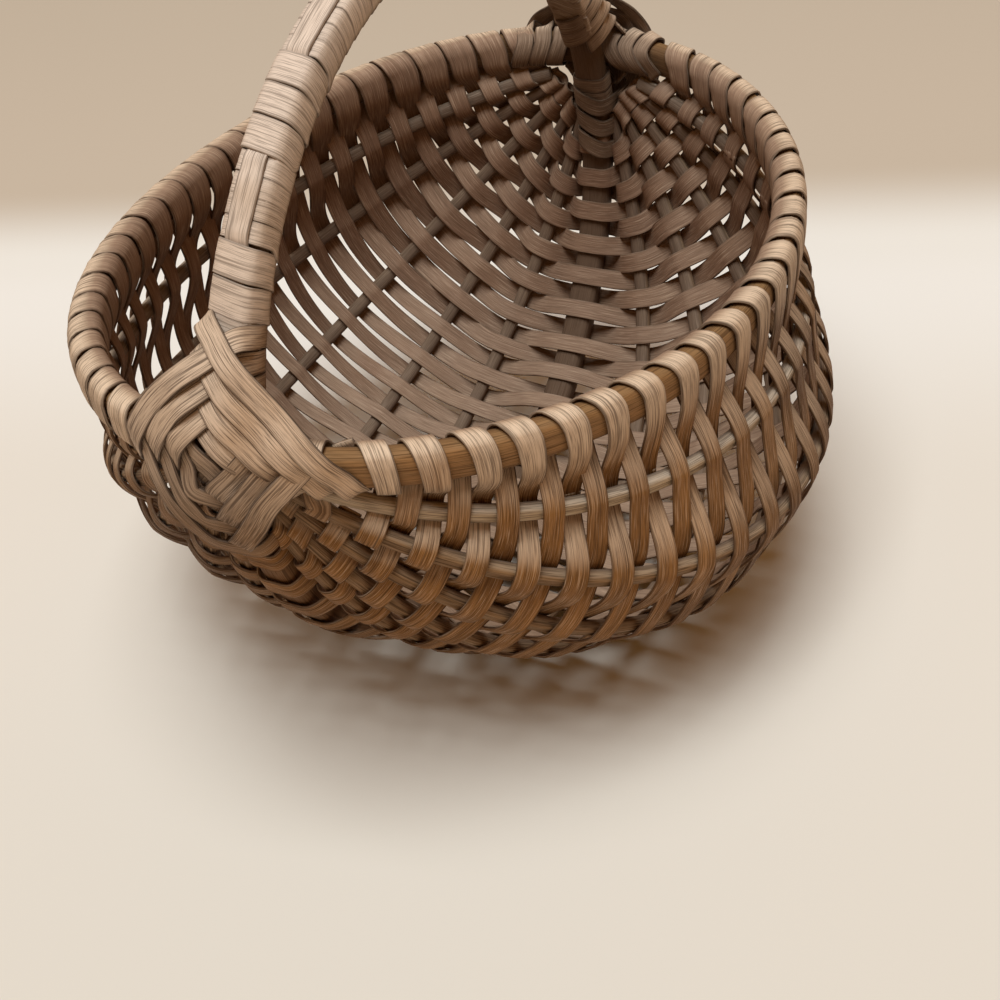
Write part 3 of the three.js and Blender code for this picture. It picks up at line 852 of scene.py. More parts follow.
@dataclass
class Ear:
    """The lashing where the handle crosses the rim: strips wound round four arms, each over the last."""

    form: BasketForm
    lift: float
    rng: np.random.Generator
    passes: int = 14
    widths: tuple[float, ...] = (5.8, 5.9, 5.4, 6.0)
    back_width: float = 5.4
    thickness: float = 0.8
    ridge: float = 0.02
    layer: float = 0.88
    layer_shares: tuple[float, ...] = (-0.3, 0.35, 0.9, 1.3)
    shingles: tuple[float, ...] = (2.3, 2.1, 0.9, 1.9)
    under: float = 1.75
    # For each quarter: how far a strip bows outwards and forwards between two arms, and how far it tips.
    bows: tuple[tuple[float, float, float], ...] = (
        (0.0, 0.0, 0.0), (0.015, 0.02, 0.2), (0.1, 0.03, 0.45), (0.045, 0.02, 0.2),
    )
    short_span: float = 11.0
    dome_start: float = 5.0
    dome_length: float = 36.0
    arm_slack: float = 0.6
    centre_reach: float = 0.6
    nearest: float = 0.5
    first_bend: int = 5
    last_bend: int = 6
    fewer_behind: int = 2
    cross_width: float = 6.4
    cross_heights: tuple[float, float] = (0.9, 1.7)
    # For each bend of a crossed strip: the reach from the middle and the height.
    cross_plan: tuple[tuple[float, float], ...] = (
        (-12.0, -7.0), (-9.5, -2.5), (-7.0, -0.3), (0.0, 0.1), (7.0, -0.3), (9.5, -2.5), (12.0, -7.0),
    )
    loop_distances: tuple[float, ...] = (7.4, 12.2)
    loop_width: float = 4.6
    loop_slack: float = 0.1
    loop_sides: int = 40
    loop_squareness: float = 0.62
    grain_step: float = 3000.0
    back_grain: float = 900.0
    loop_grain: float = 12000.0
    loop_grain_step: float = 300.0

    @cached_property
    def spokes(self) -> list[Spoke]:
        """The arms in the order of winding: handle, right rim, keel, left rim."""
        form = self.form
        hoop = (form.hoop_width / 2, form.hoop_thickness / 2)
        rim = (form.rim_height / 2, form.rim_thickness / 2)
        return [
            Spoke(
                form.handle_rail, False, *hoop,
                start=4.45, pitch=5.6, slip=1.65, arrive=4.0, leave=3.6, dome=7.2,
            ),
            Spoke(
                form.rim_rail, False, *rim,
                start=9.2, pitch=6.05, slip=-2.3, arrive=3.0, leave=4.6, dome=0.0,
            ),
            Spoke(
                form.keel_rail, False, *hoop,
                start=10.1, pitch=7.6, slip=0.2, arrive=5.4, leave=0.5, dome=7.2,
            ),
            Spoke(
                form.rim_rail, True, *rim,
                start=7.1, pitch=5.9, slip=2.2, arrive=1.4, leave=3.4, dome=0.0,
            ),
        ]

    def reach(self, number: int) -> float:
        """Give how far out on its arm a pass lies."""
        spoke = self.spokes[number % len(self.spokes)]
        return spoke.start + spoke.pitch * (number // len(self.spokes))

    def frame(self, spoke: Spoke, distance: float) -> tuple[Array, Array, Array, Array]:
        """Find the directions on an arm.

        Args:
            spoke: The arm.
            distance: How far out from the middle of the ear.

        Returns:
            The point on the arm, the way out along it, the way off its front, and the side of arrival.
        """
        point, along = spoke.rail.point(distance), spoke.rail.tangent(distance)
        if spoke.mirror:
            point, along = mirrored(point), mirrored(along)
        form = self.form
        if spoke.rail is form.rim_rail:
            front = np.array([point[0] / form.rim_half_width**2, point[1] / form.rim_half_length**2, 0.0])
        else:
            rise = (point[2] + form.hoop_drop) / form.hoop_half_height**2
            front = np.array([0.0, point[1] / form.hoop_half_length**2, rise])
        front = unit(front - along * (front @ along))
        return point, along, front, np.cross(front, along)

    def rise(self, spoke: Spoke, distance: float) -> float:
        """Give the extra height near the middle, where the rim lies in front of the hoop."""
        near = min(max(1.0 - (distance - self.dome_start) / self.dome_length, 0.0), 1.0)
        return spoke.dome * near

    def arm_bends(self, number: int) -> list[Bend]:
        """Wind the strip once round an arm.

        Args:
            number: The pass, counted from the middle of the ear.

        Returns:
            The bends: across the front, round the back, and across the front again on top.
        """
        spoke = self.spokes[number % len(self.spokes)]
        middle = self.reach(number)
        half = spoke.half + self.arm_slack
        slip, arrive, leave = spoke.slip, spoke.arrive, spoke.leave
        low, middling, high, top = (self.under + share * self.layer for share in self.layer_shares)
        # For each bend: its place across the arm in half widths, its shift along, its height and its face.
        plan = (
            (1.0, -slip - arrive, top, Face.ARRIVING),
            (0.0, -slip, middling, Face.ARRIVING),
            (-0.88, -slip + 0.88 * arrive, low, Face.ARRIVING),
            (-1.12, -slip + arrive, 0.2, Face.BESIDE),
            (-0.7, -slip + 0.9 * arrive, -1.3, Face.BEHIND),
            (0.7, slip + 0.9 * leave, -1.3, Face.BEHIND),
            (1.12, slip + leave, 0.2, Face.BESIDE),
            (0.88, slip + 0.88 * leave, low, Face.LEAVING),
            (0.0, slip, high, Face.LEAVING),
            (-1.0, slip - leave, top, Face.LEAVING),
        )
        bends = []
        for share, shift, extra, face in plan:
            distance = middle + shift
            point, along, front, side = self.frame(spoke, max(distance, self.nearest))
            if distance < self.nearest:
                point = point + along * (distance - self.nearest)
            across, width = along, self.back_width
            height = extra - spoke.depth if face is Face.BEHIND else extra
            if face in (Face.ARRIVING, Face.LEAVING):
                arriving = face is Face.ARRIVING
                lean = arrive if arriving else -leave
                quarter = (number - 1 if arriving else number) % len(self.spokes)
                slope = self.shingles[quarter] * self.layer / spoke.pitch
                across = unit(along * half + side * lean)
                fall = slope + (spoke.dome / self.dome_length if distance > self.dome_start else 0.0)
                across = unit(across - front * (fall * (across @ along)))
                height = spoke.depth + extra - slope * shift + self.rise(spoke, distance)
                width = self.widths[quarter]
            bends.append(Bend(point + side * (share * half) + front * height, across, width))
        return bends

    def span_bend(self, start: Bend, end: Bend, span: float, number: int) -> Bend:
        """Bow the strip outwards half way between two arms.

        Args:
            start: Where the strip leaves one arm.
            end: Where it reaches the next.
            span: The distance between the two arms' middles.
            number: The pass that it leaves.

        Returns:
            The bend between them.
        """
        flat, frontal, tip = self.bows[number % len(self.bows)]
        centre = self.frame(self.spokes[1], self.centre_reach)[0]
        middle = (start.point + end.point) / 2
        outward = middle - centre
        outward[1] = 0.0
        bow = unit(outward) * (flat * number / self.passes) + np.array([0.0, -frontal, 0.0])
        across = unit(start.across + end.across + np.array([0.0, -tip, 0.0]))
        return Bend(middle + bow * span, across, self.widths[number % len(self.widths)])

    def winding(self, passes: int) -> list[Bend]:
        """Wind the whole ear as one strip, from the middle outwards.

        Args:
            passes: How many times the strip goes round an arm.

        Returns:
            The bends of the strip.
        """
        bends = self.arm_bends(0)[self.first_bend:]
        for number in range(1, passes):
            arm = self.arm_bends(number)
            if number == passes - 1:
                arm = arm[:self.last_bend]
            span = float(np.linalg.norm(arm[1].point - bends[-2].point))
            between = self.span_bend(bends[-1], arm[0], span, number - 1)
            if np.linalg.norm(arm[0].point - bends[-1].point) < self.short_span:
                bends.pop()
                arm.pop(0)
            bends.extend([between, *arm])
        return bends

    def crossed_start(self, turn: float) -> list[Bend]:
        """Lay a short strip slantwise over the crossing of the hoops.

        Args:
            turn: One for a strip that rises to the right, minus one for the other.

        Returns:
            The bends of the strip.
        """
        point, _, front, _ = self.frame(self.spokes[1], self.centre_reach)
        slant = unit(np.array([turn, 0.0, 1.0]))
        across = unit(np.array([1.0, 0.0, -turn]))
        height = self.form.rim_thickness / 2 + self.cross_heights[0 if turn > 0 else 1]
        return [
            Bend(point + slant * reach + front * (height + drop), across, self.cross_width)
            for reach, drop in self.cross_plan
        ]

    def keel_loop(self, distance: float, outline: Array) -> tuple[Array, Array]:
        """Wrap one loop of reed round the keel under the ear.

        Args:
            distance: How far below the middle of the ear.
            outline: The section of the reed.

        Returns:
            The rings of the loop and the distance walked at each.
        """
        spoke = self.spokes[2]
        point, along, front, side = self.frame(spoke, distance)
        lift = self.thickness / 2 + self.loop_slack
        half, depth = spoke.half + lift, spoke.depth + lift
        section = rounded_section(half, depth, self.loop_sides, self.loop_squareness)
        line = section[:, :1] * side + section[:, 1:] * front
        away = unit(line)
        rings = (
            (point + line)[:, None, :]
            + along[None, None, :] * (outline[None, :, 0:1] * self.loop_width)
            + away[:, None, :] * outline[None, :, 1:2]
        )
        return rings, walked_along(line)

    def build(self, back: bool) -> Piece:
        """Make one ear.

        Args:
            back: True for the ear at the back of the basket, which has fewer passes.

        Returns:
            The piece, ready to finish.
        """
        piece = Piece("ear_lashing_back" if back else "ear_lashing_front", self.lift)
        profile = ReedProfile(self.thickness, ridge=self.ridge)
        turned = np.array([-1.0, -1.0, 1.0]) if back else np.ones(3)
        passes = self.passes - self.fewer_behind if back else self.passes
        runs = [self.winding(passes), self.crossed_start(1.0), self.crossed_start(-1.0)]
        for order, bends in enumerate(runs):
            strip = Strip(bends, FINE_STEP)
            outline = profile.outline(self.rng)
            grain = self.grain_step * order + (self.back_grain if back else 0.0)
            rings = strip.rings(outline) * turned
            piece.sweep(rings, strip.walked, Ends.CAPPED, grain, edge_shares(outline))
        for order, distance in enumerate(self.loop_distances):
            outline = profile.outline(self.rng)
            rings, walked = self.keel_loop(distance, outline)
            grain = self.loop_grain + self.loop_grain_step * order
            piece.sweep(rings * turned, walked, Ends.JOINED, grain, edge_shares(outline))
        return piece


@dataclass
class HandleBinding:
    """Flat reed wound round the handle over and under a runner on its outer face."""

    form: BasketForm
    lift: float
    rng: np.random.Generator
    start: float = 19.6
    step: float = 0.25
    gap: float = -0.3
    thickness: float = 0.85
    clearance: float = 0.12
    runner_width: float = 6.0
    runner_thickness: float = 0.95
    runner_hold: float = 0.36
    runner_wave: float = 0.03
    runner_phase: float = 1.7
    under_share: float = 0.6
    slip_spread: float = 0.12
    width_spread: float = 0.05
    ridge: float = 0.04
    grain_step: float = 2500.0
    # From an ear to the top of the handle: o for a turn over the runner and u for one under it.
    plan: str = "ooouuuuooouuuuuuuuuu"

    def __post_init__(self) -> None:
        """Space the turns along the handle."""
        self.over = [mark == "o" for mark in self.plan + self.plan[::-1]]
        changes = sum(a != b for a, b in zip(self.over, self.over[1:]))
        bound = self.form.handle_rail.length - 2.0 * self.start
        sizes = [1.0 if over else self.under_share for over in self.over]
        pitch = (bound - changes * self.step) / sum(sizes)
        self.widths = [pitch * size for size in sizes]
        self.centres = [self.start + self.widths[0] / 2]
        for index in range(1, len(self.over)):
            extra = self.step if self.over[index] != self.over[index - 1] else 0.0
            between = (self.widths[index - 1] + self.widths[index]) / 2
            self.centres.append(self.centres[-1] + between + extra)
        core = self.form.hoop_thickness / 2
        lift = self.thickness / 2 + self.clearance
        self.low = core + lift
        self.runner_low = core + self.clearance + self.runner_thickness / 2
        self.high = self.runner_low + self.runner_thickness / 2 + lift
        self.runner_high = self.low + self.thickness / 2 + self.clearance + self.runner_thickness / 2

    def frame(self, distance: float) -> tuple[Array, Array, Array]:
        """Give the handle's point, direction and outer side at a distance from the front ear."""
        point = self.form.handle_rail.point(distance)
        along = self.form.handle_rail.tangent(distance)
        outward = unit(np.cross(np.array([1.0, 0.0, 0.0]), along))
        if outward @ np.array([0.0, point[1], point[2] + self.form.hoop_drop]) < 0:
            outward = -outward
        return point, along, outward

    def turns(self, first: int, last: int) -> list[Bend]:
        """Wind a run of turns round the handle.

        Args:
            first: The first turn.
            last: One past the last turn.

        Returns:
            The bends of one unbroken strip.
        """
        half = self.form.hoop_width / 2 + self.thickness / 2 + self.clearance
        core = self.form.hoop_thickness / 2
        bends = []
        for turn in range(first, last):
            centre = self.centres[turn]
            follow = self.centres[turn + 1] if turn + 1 < last else centre + self.widths[turn]
            crown = self.high if self.over[turn] else self.low
            slip = self.rng.normal(0.0, self.slip_spread)
            width = self.widths[turn] - self.gap + self.rng.normal(0.0, self.width_spread)
            # For each bend: its share of the way to the next turn, its side in half widths, and its height.
            plan = (
                (-0.16, 1.0, -0.35 * core),
                (-0.12, 1.0, 0.45 * core),
                (-0.1, 0.86, 0.5 * (core + crown) + 0.2),
                (-0.06, 0.5, crown + 0.05),
                (0.0, 0.0, crown + 0.12),
                (0.06, -0.5, crown + 0.05),
                (0.1, -0.86, 0.5 * (core + crown) + 0.2),
                (0.12, -1.0, 0.45 * core),
                (0.16, -1.0, -0.35 * core),
                (0.2, -0.86, -0.5 * (core + self.low) - 0.2),
                (0.3, -0.5, -self.low - 0.05),
                (0.7, 0.5, -self.low - 0.05),
                (0.8, 0.86, -0.5 * (core + self.low) - 0.2),
            )
            # The last turn runs on to the start of the next winding, so that no hole is left between them.
            if turn + 1 == last:
                plan = (*plan, (0.835, 1.0, -0.42 * core))
            for share, side, height in plan:
                distance = centre + slip * (1.0 - share) + (follow - centre) * share
                point, along, outward = self.frame(distance)
                spot = point + np.array([side * half, 0.0, 0.0]) + outward * height
                bends.append(Bend(spot, along, width))
        return bends

    def runner(self) -> list[Bend]:
        """Lay the runner along the handle, over most turns and under the rest."""
        bends = []
        for index, centre in enumerate(self.centres):
            height = self.runner_low if self.over[index] else self.runner_high
            for shift in (-self.runner_hold, self.runner_hold):
                point, _, outward = self.frame(centre + shift * self.widths[index])
                side = np.array([1.0, 0.0, 0.0])
                width = self.runner_width * (1.0 + self.runner_wave * math.sin(index * self.runner_phase))
                bends.append(Bend(point + outward * height, side, width))
        return bends

    def build(self) -> list[Piece]:
        """Make the two windings and the runner."""
        count = len(self.over)
        middle = count // 2
        runs = (
            ("handle_winding_front", self.turns(0, middle), self.thickness),
            ("handle_winding_back", self.turns(middle, count), self.thickness),
            ("handle_runner_strip", self.runner(), self.runner_thickness),
        )
        pieces = []
        for order, (name, bends, thickness) in enumerate(runs):
            strip = Strip(bends, FINE_STEP)
            piece = Piece(name, self.lift)
            outline = ReedProfile(thickness, ridge=self.ridge).outline(self.rng)
            grain = self.grain_step * order
            piece.sweep(strip.rings(outline), strip.walked, Ends.CAPPED, grain, edge_shares(outline))
            pieces.append(piece)
        return pieces


def linear(red: int, green: int, blue: int) -> tuple[float, float, float, float]:
    """Turn a colour as written on a swatch into the linear values that a shader takes."""
    channels = []
    for value in (red, green, blue):
        share = value / 255.0
        channels.append(share / 12.92 if share <= 0.04045 else ((share + 0.055) / 1.055) ** 2.4)
    return (*channels, 1.0)


def fibre_group() -> bpy.types.ShaderNodeTree:
    """Build the shared grain of split wood: fine dark fibres, broad bands and a height.

    Returns:
        The node group, which takes the strip's own map in millimetres.
    """
    group = bpy.data.node_groups.new("fibre_grain", "ShaderNodeTree")
    face = group.interface
    face.new_socket("Map", in_out="INPUT", socket_type="NodeSocketVector")
    for name in ("Fibre", "Gleam", "Band", "Tone", "Height"):
        face.new_socket(name, in_out="OUTPUT", socket_type="NodeSocketFloat")
    nodes, links = group.nodes, group.links
    source = nodes.new("NodeGroupInput")
    sink = nodes.new("NodeGroupOutput")

    def streaks(width: float, length: float, detail: float, label: str) -> bpy.types.Node:
        """Stretch noise along the grain."""
        scale = nodes.new("ShaderNodeVectorMath")
        scale.operation = "MULTIPLY"
        scale.inputs[1].default_value = (1.0 / width, 1.0 / length, 1.0)
        noise = nodes.new("ShaderNodeTexNoise")
        noise.label = label
        noise.noise_dimensions = "2D"
        noise.inputs["Scale"].default_value = 1.0
        noise.inputs["Detail"].default_value = detail
        noise.inputs["Roughness"].default_value = 0.6
        links.new(source.outputs["Map"], scale.inputs[0])
        links.new(scale.outputs[0], noise.inputs["Vector"])
        return noise

    fibres = streaks(0.19, 9.0, 2.0, "fibres")
    threads = streaks(0.5, 34.0, 1.0, "threads")
    bands = streaks(2.2, 60.0, 2.0, "bands")
    tones = streaks(40.0, 55.0, 1.0, "tones")

    def ramp(noise: bpy.types.Node, low: float, high: float) -> bpy.types.Node:
        """Stretch part of a noise to the full range."""
        limits = nodes.new("ShaderNodeMapRange")
        limits.interpolation_type = "SMOOTHSTEP"
        limits.inputs["From Min"].default_value = low
        limits.inputs["From Max"].default_value = high
        links.new(noise.outputs[0], limits.inputs["Value"])
        return limits

    dark_fibre = ramp(fibres, 0.56, 0.26)
    dark_thread = ramp(threads, 0.42, 0.28)
    gleam = ramp(fibres, 0.54, 0.74)
    most = nodes.new("ShaderNodeMath")
    most.operation = "MAXIMUM"
    links.new(dark_fibre.outputs[0], most.inputs[0])
    links.new(dark_thread.outputs[0], most.inputs[1])
    band = ramp(bands, 0.3, 0.7)
    tone = ramp(tones, 0.3, 0.7)
    height = nodes.new("ShaderNodeMath")
    height.operation = "SUBTRACT"
    links.new(band.outputs[0], height.inputs[0])
    links.new(most.outputs[0], height.inputs[1])
    links.new(most.outputs[0], sink.inputs["Fibre"])
    links.new(gleam.outputs[0], sink.inputs["Gleam"])
    links.new(band.outputs[0], sink.inputs["Band"])
    links.new(tone.outputs[0], sink.inputs["Tone"])
    links.new(height.outputs[0], sink.inputs["Height"])
    return group


def age_and_light_group() -> bpy.types.ShaderNodeTree:
    """Build the shared masks of age and of painted light: a pool of warm light painted near the front, the
    inner faces' tone that is partly weathered colour and partly painted shade, painted shade underneath and
    in the ears' hearts, and patchy dust with painted light on top.

    Returns:
        The node group, which takes the place and the normal of a point on the basket.
    """
    group = bpy.data.node_groups.new("age", "ShaderNodeTree")
    face = group.interface
    for name in ("Place", "Facing"):
        face.new_socket(name, in_out="INPUT", socket_type="NodeSocketVector")
    for name in ("Warm Light", "Inside", "Underside Shade", "Dust And Top Light", "Heart Shade"):
        face.new_socket(name, in_out="OUTPUT", socket_type="NodeSocketFloat")
    nodes, links = group.nodes, group.links
    source = nodes.new("NodeGroupInput")
    sink = nodes.new("NodeGroupOutput")

    def limits(value: bpy.types.NodeSocket, low: float, high: float) -> bpy.types.NodeSocket:
        """Ease a value from nought at the low limit to one at the high limit."""
        range_node = nodes.new("ShaderNodeMapRange")
        range_node.interpolation_type = "SMOOTHSTEP"
        range_node.inputs["From Min"].default_value = low
        range_node.inputs["From Max"].default_value = high
        links.new(value, range_node.inputs["Value"])
        return range_node.outputs[0]

    def vector(operation: str, first: bpy.types.NodeSocket, second: object = None) -> bpy.types.Node:
        """Put a vector through one step, alone or with a second socket or a fixed vector."""
        step = nodes.new("ShaderNodeVectorMath")
        step.operation = operation
        links.new(first, step.inputs[0])
        if isinstance(second, tuple):
            step.inputs[1].default_value = second
        elif second is not None:
            links.new(second, step.inputs[1])
        return step

    def joined(operation: str, first: bpy.types.NodeSocket, second: object) -> bpy.types.NodeSocket:
        """Join a mask to a second mask or to a fixed share."""
        step = nodes.new("ShaderNodeMath")
        step.operation = operation
        links.new(first, step.inputs[0])
        if isinstance(second, float):
            step.inputs[1].default_value = second
        else:
            links.new(second, step.inputs[1])
        return step.outputs[0]

    def upright_part(value: bpy.types.NodeSocket) -> bpy.types.NodeSocket:
        """Take the upright part of a vector."""
        parts = nodes.new("ShaderNodeSeparateXYZ")
        links.new(value, parts.inputs[0])
        return parts.outputs["Z"]

    place, facing = source.outputs["Place"], source.outputs["Facing"]
    height, tilt = upright_part(place), upright_part(facing)
    # Painted warm light: a golden pool round a point at the front.
    to_warm_light = vector("DISTANCE", place, WARM_LIGHT_PLACE).outputs["Value"]
    links.new(limits(to_warm_light, 0.105, 0.04), sink.inputs["Warm Light"])
    # Painted shade in the heart of each ear, where the hoops cross.
    folded = vector("ABSOLUTE", place).outputs[0]
    to_heart_shade = vector("DISTANCE", folded, EAR_SHADE_CENTRE).outputs["Value"]
    links.new(limits(to_heart_shade, 0.025, 0.006), sink.inputs["Heart Shade"])
    radial = vector("SUBTRACT", place, BASKET_MIDDLE).outputs[0]
    outward = vector("NORMALIZE", radial).outputs[0]
    # Inner faces: their tone is partly the reed's weathered colour and partly painted shade.
    within = limits(vector("DOT_PRODUCT", outward, facing).outputs["Value"], 0.1, -0.5)
    links.new(within, sink.inputs["Inside"])
    # Painted shade on faces that look down.
    links.new(limits(tilt, -0.1, -0.8), sink.inputs["Underside Shade"])
    cloud = nodes.new("ShaderNodeTexNoise")
    cloud.inputs["Scale"].default_value = 30.0
    cloud.inputs["Detail"].default_value = 3.0
    links.new(place, cloud.inputs["Vector"])
    # The rim's top band and the upward faces: patchy real dust, and painted light on the tops.
    upper = joined("MULTIPLY", limits(height, 0.1, 0.118), 0.62)
    bared = joined("MAXIMUM", limits(tilt, 0.15, 0.92), upper)
    dust_and_top_light = joined("MULTIPLY", bared, limits(cloud.outputs[0], 0.2, 0.46))
    spared = nodes.new("ShaderNodeMapRange")
    spared.inputs["To Min"].default_value = 1.0
    spared.inputs["To Max"].default_value = 0.2
    links.new(within, spared.inputs["Value"])
    links.new(joined("MULTIPLY", dust_and_top_light, spared.outputs[0]), sink.inputs["Dust And Top Light"])
    return group


Swatch = tuple[int, int, int]


@dataclass(frozen=True)
class Finish:
    """A weathered reed or wood finish, with painted light and shade laid into its colour."""

    name: str
    pale: Swatch
    deep: Swatch
    # warm is the colour of the warm light painted near the front.
    warm: Swatch
    # inside is the inner faces' tone, partly their weathered colour and partly painted shade.
    inside: Swatch
    # dusty is the pale colour of the dust and of the light painted on the tops; the pale fibres take it too.
    dusty: Swatch
    # groove is the dark colour of the fibre lines, and also the colour of the painted shade underneath, in
    # the ears' hearts and along the edges.
    groove: Swatch
    dust_and_top_light: float = 0.8
    edge_shade: float = 0.5
    groove_depth: float = 0.6
    heart_shade: float = 0.0
    warm_light_share: float = 0.75
    banding: float = 0.4
    inside_shade_share: float = 0.85
    underside_shade: float = 0.45
    gleam: float = 0.3
    quiet: float = 0.45
    specular: float = 0.18
    smooth: float = 0.64
    rough: float = 0.94
    bump: float = 0.5
    relief: float = 0.0001

    def material(self, grain: bpy.types.ShaderNodeTree, age: bpy.types.ShaderNodeTree) -> bpy.types.Material:
        """Build the material.

        Args:
            grain: The shared grain group.
            age: The shared group of the signs of age and of the painted light and shade.

        Returns:
            The finished material.
        """
        made = bpy.data.materials.new(self.name)
        made.use_nodes = True
        nodes, links = made.node_tree.nodes, made.node_tree.links
        shader = nodes["Principled BSDF"]
        shader.inputs["Specular IOR Level"].default_value = self.specular
        grid = nodes.new("ShaderNodeUVMap")
        grid.uv_map = "grain"
        fibre = nodes.new("ShaderNodeGroup")
        fibre.node_tree = grain
        links.new(grid.outputs[0], fibre.inputs["Map"])
        surface = nodes.new("ShaderNodeNewGeometry")
        place = nodes.new("ShaderNodeTexCoord")
        aged_and_lit = nodes.new("ShaderNodeGroup")
        aged_and_lit.node_tree = age
        links.new(place.outputs["Object"], aged_and_lit.inputs["Place"])
        links.new(surface.outputs["Normal"], aged_and_lit.inputs["Facing"])
        edge_shade_mask = nodes.new("ShaderNodeAttribute")
        edge_shade_mask.attribute_name = "edge"

        def share(value: bpy.types.NodeSocket, amount: float) -> bpy.types.NodeSocket:
            """Scale a mask."""
            scaled = nodes.new("ShaderNodeMath")
            scaled.operation = "MULTIPLY"
            scaled.inputs[1].default_value = amount
            links.new(value, scaled.inputs[0])
            return scaled.outputs[0]

        def mix(mask: bpy.types.NodeSocket, first: object, second: object) -> bpy.types.NodeSocket:
            """Mix two colours, each a swatch or a socket."""
            mixer = nodes.new("ShaderNodeMix")
            mixer.data_type = "RGBA"
            links.new(mask, mixer.inputs[0])
            for socket, colour in ((mixer.inputs[6], first), (mixer.inputs[7], second)):
                if isinstance(colour, tuple):
                    socket.default_value = linear(*colour)
                else:
                    links.new(colour, socket)
            return mixer.outputs[2]

        wood = mix(fibre.outputs["Tone"], self.pale, self.deep)
        # Painted warm light: golden colour near the front.
        wood = mix(share(aged_and_lit.outputs["Warm Light"], self.warm_light_share), wood, self.warm)
        wood = mix(share(fibre.outputs["Band"], self.banding), wood, self.deep)
        # Inner faces: partly weathered colour, partly painted shade.
        wood = mix(share(aged_and_lit.outputs["Inside"], self.inside_shade_share), wood, self.inside)
        # Patchy dust, with painted light on the tops.
        wood = mix(share(aged_and_lit.outputs["Dust And Top Light"], self.dust_and_top_light), wood, self.dusty)
        # Painted shade on faces that look down.
        wood = mix(share(aged_and_lit.outputs["Underside Shade"], self.underside_shade), wood, self.groove)
        # Painted shade in the ears' hearts.
        wood = mix(share(aged_and_lit.outputs["Heart Shade"], self.heart_shade), wood, self.groove)
        # Painted shade along the strips' edges, where they meet and overlap.
        wood = mix(share(edge_shade_mask.outputs["Fac"], self.edge_shade), wood, self.groove)
        wood = mix(share(fibre.outputs["Gleam"], self.gleam), wood, self.dusty)
        quiet = nodes.new("ShaderNodeMapRange")
        quiet.inputs["To Min"].default_value = self.groove_depth
        quiet.inputs["To Max"].default_value = self.groove_depth * self.quiet
        links.new(aged_and_lit.outputs["Inside"], quiet.inputs["Value"])
        lines = nodes.new("ShaderNodeMath")
        lines.operation = "MULTIPLY"
        links.new(fibre.outputs["Fibre"], lines.inputs[0])
        links.new(quiet.outputs[0], lines.inputs[1])
        wood = mix(lines.outputs[0], wood, self.groove)
        links.new(wood, shader.inputs["Base Color"])
        sheen = nodes.new("ShaderNodeMapRange")
        sheen.inputs["To Min"].default_value = self.smooth
        sheen.inputs["To Max"].default_value = self.rough
        links.new(fibre.outputs["Fibre"], sheen.inputs["Value"])
        links.new(sheen.outputs[0], shader.inputs["Roughness"])
        bump = nodes.new("ShaderNodeBump")
        bump.inputs["Strength"].default_value = self.bump
        bump.inputs["Distance"].default_value = self.relief
        links.new(fibre.outputs["Height"], bump.inputs["Height"])
        links.new(bump.outputs[0], shader.inputs["Normal"])
        return made


FINISHES = (
    Finish(
        "weaver_reed", pale=(152, 113, 74), deep=(98, 66, 38), warm=(158, 107, 52),
        inside=(143, 112, 92), dusty=(230, 204, 176), groove=(50, 31, 18), groove_depth=0.62, dust_and_top_light=0.95,
    ),
    Finish(
        "ear_reed", pale=(180, 151, 124), deep=(130, 102, 79), warm=(186, 136, 82),
        inside=(112, 88, 70), dusty=(224, 198, 172), groove=(60, 43, 31), groove_depth=0.72,
        heart_shade=0.4, edge_shade=0.85,
    ),
    Finish(
        "handle_reed", pale=(206, 179, 153), deep=(164, 138, 114), warm=(198, 164, 130),
        inside=(140, 114, 90), dusty=(236, 216, 198), groove=(84, 66, 52), groove_depth=0.55, dust_and_top_light=0.9,
    ),
    Finish(
        "rim_wood", pale=(126, 92, 58), deep=(94, 64, 38), warm=(164, 110, 56),
        inside=(94, 68, 46), dusty=(150, 115, 77), groove=(58, 36, 19),
    ),
    Finish(
        "keel_wood", pale=(112, 84, 60), deep=(82, 58, 40), warm=(132, 90, 50),
        inside=(104, 82, 66), dusty=(116, 94, 72), groove=(54, 38, 26),
    ),
    Finish(
        "upper_rib_wood", pale=(190, 168, 142), deep=(138, 114, 92), warm=(190, 160, 124),
        inside=(112, 92, 78), dusty=(206, 190, 170), groove=(60, 44, 32), groove_depth=0.66,
    ),
    Finish(
        "lower_rib_wood", pale=(150, 122, 94), deep=(106, 80, 58), warm=(150, 112, 72),
        inside=(112, 92, 78), dusty=(170, 146, 120), groove=(52, 36, 24), groove_depth=0.66,
    ),
)


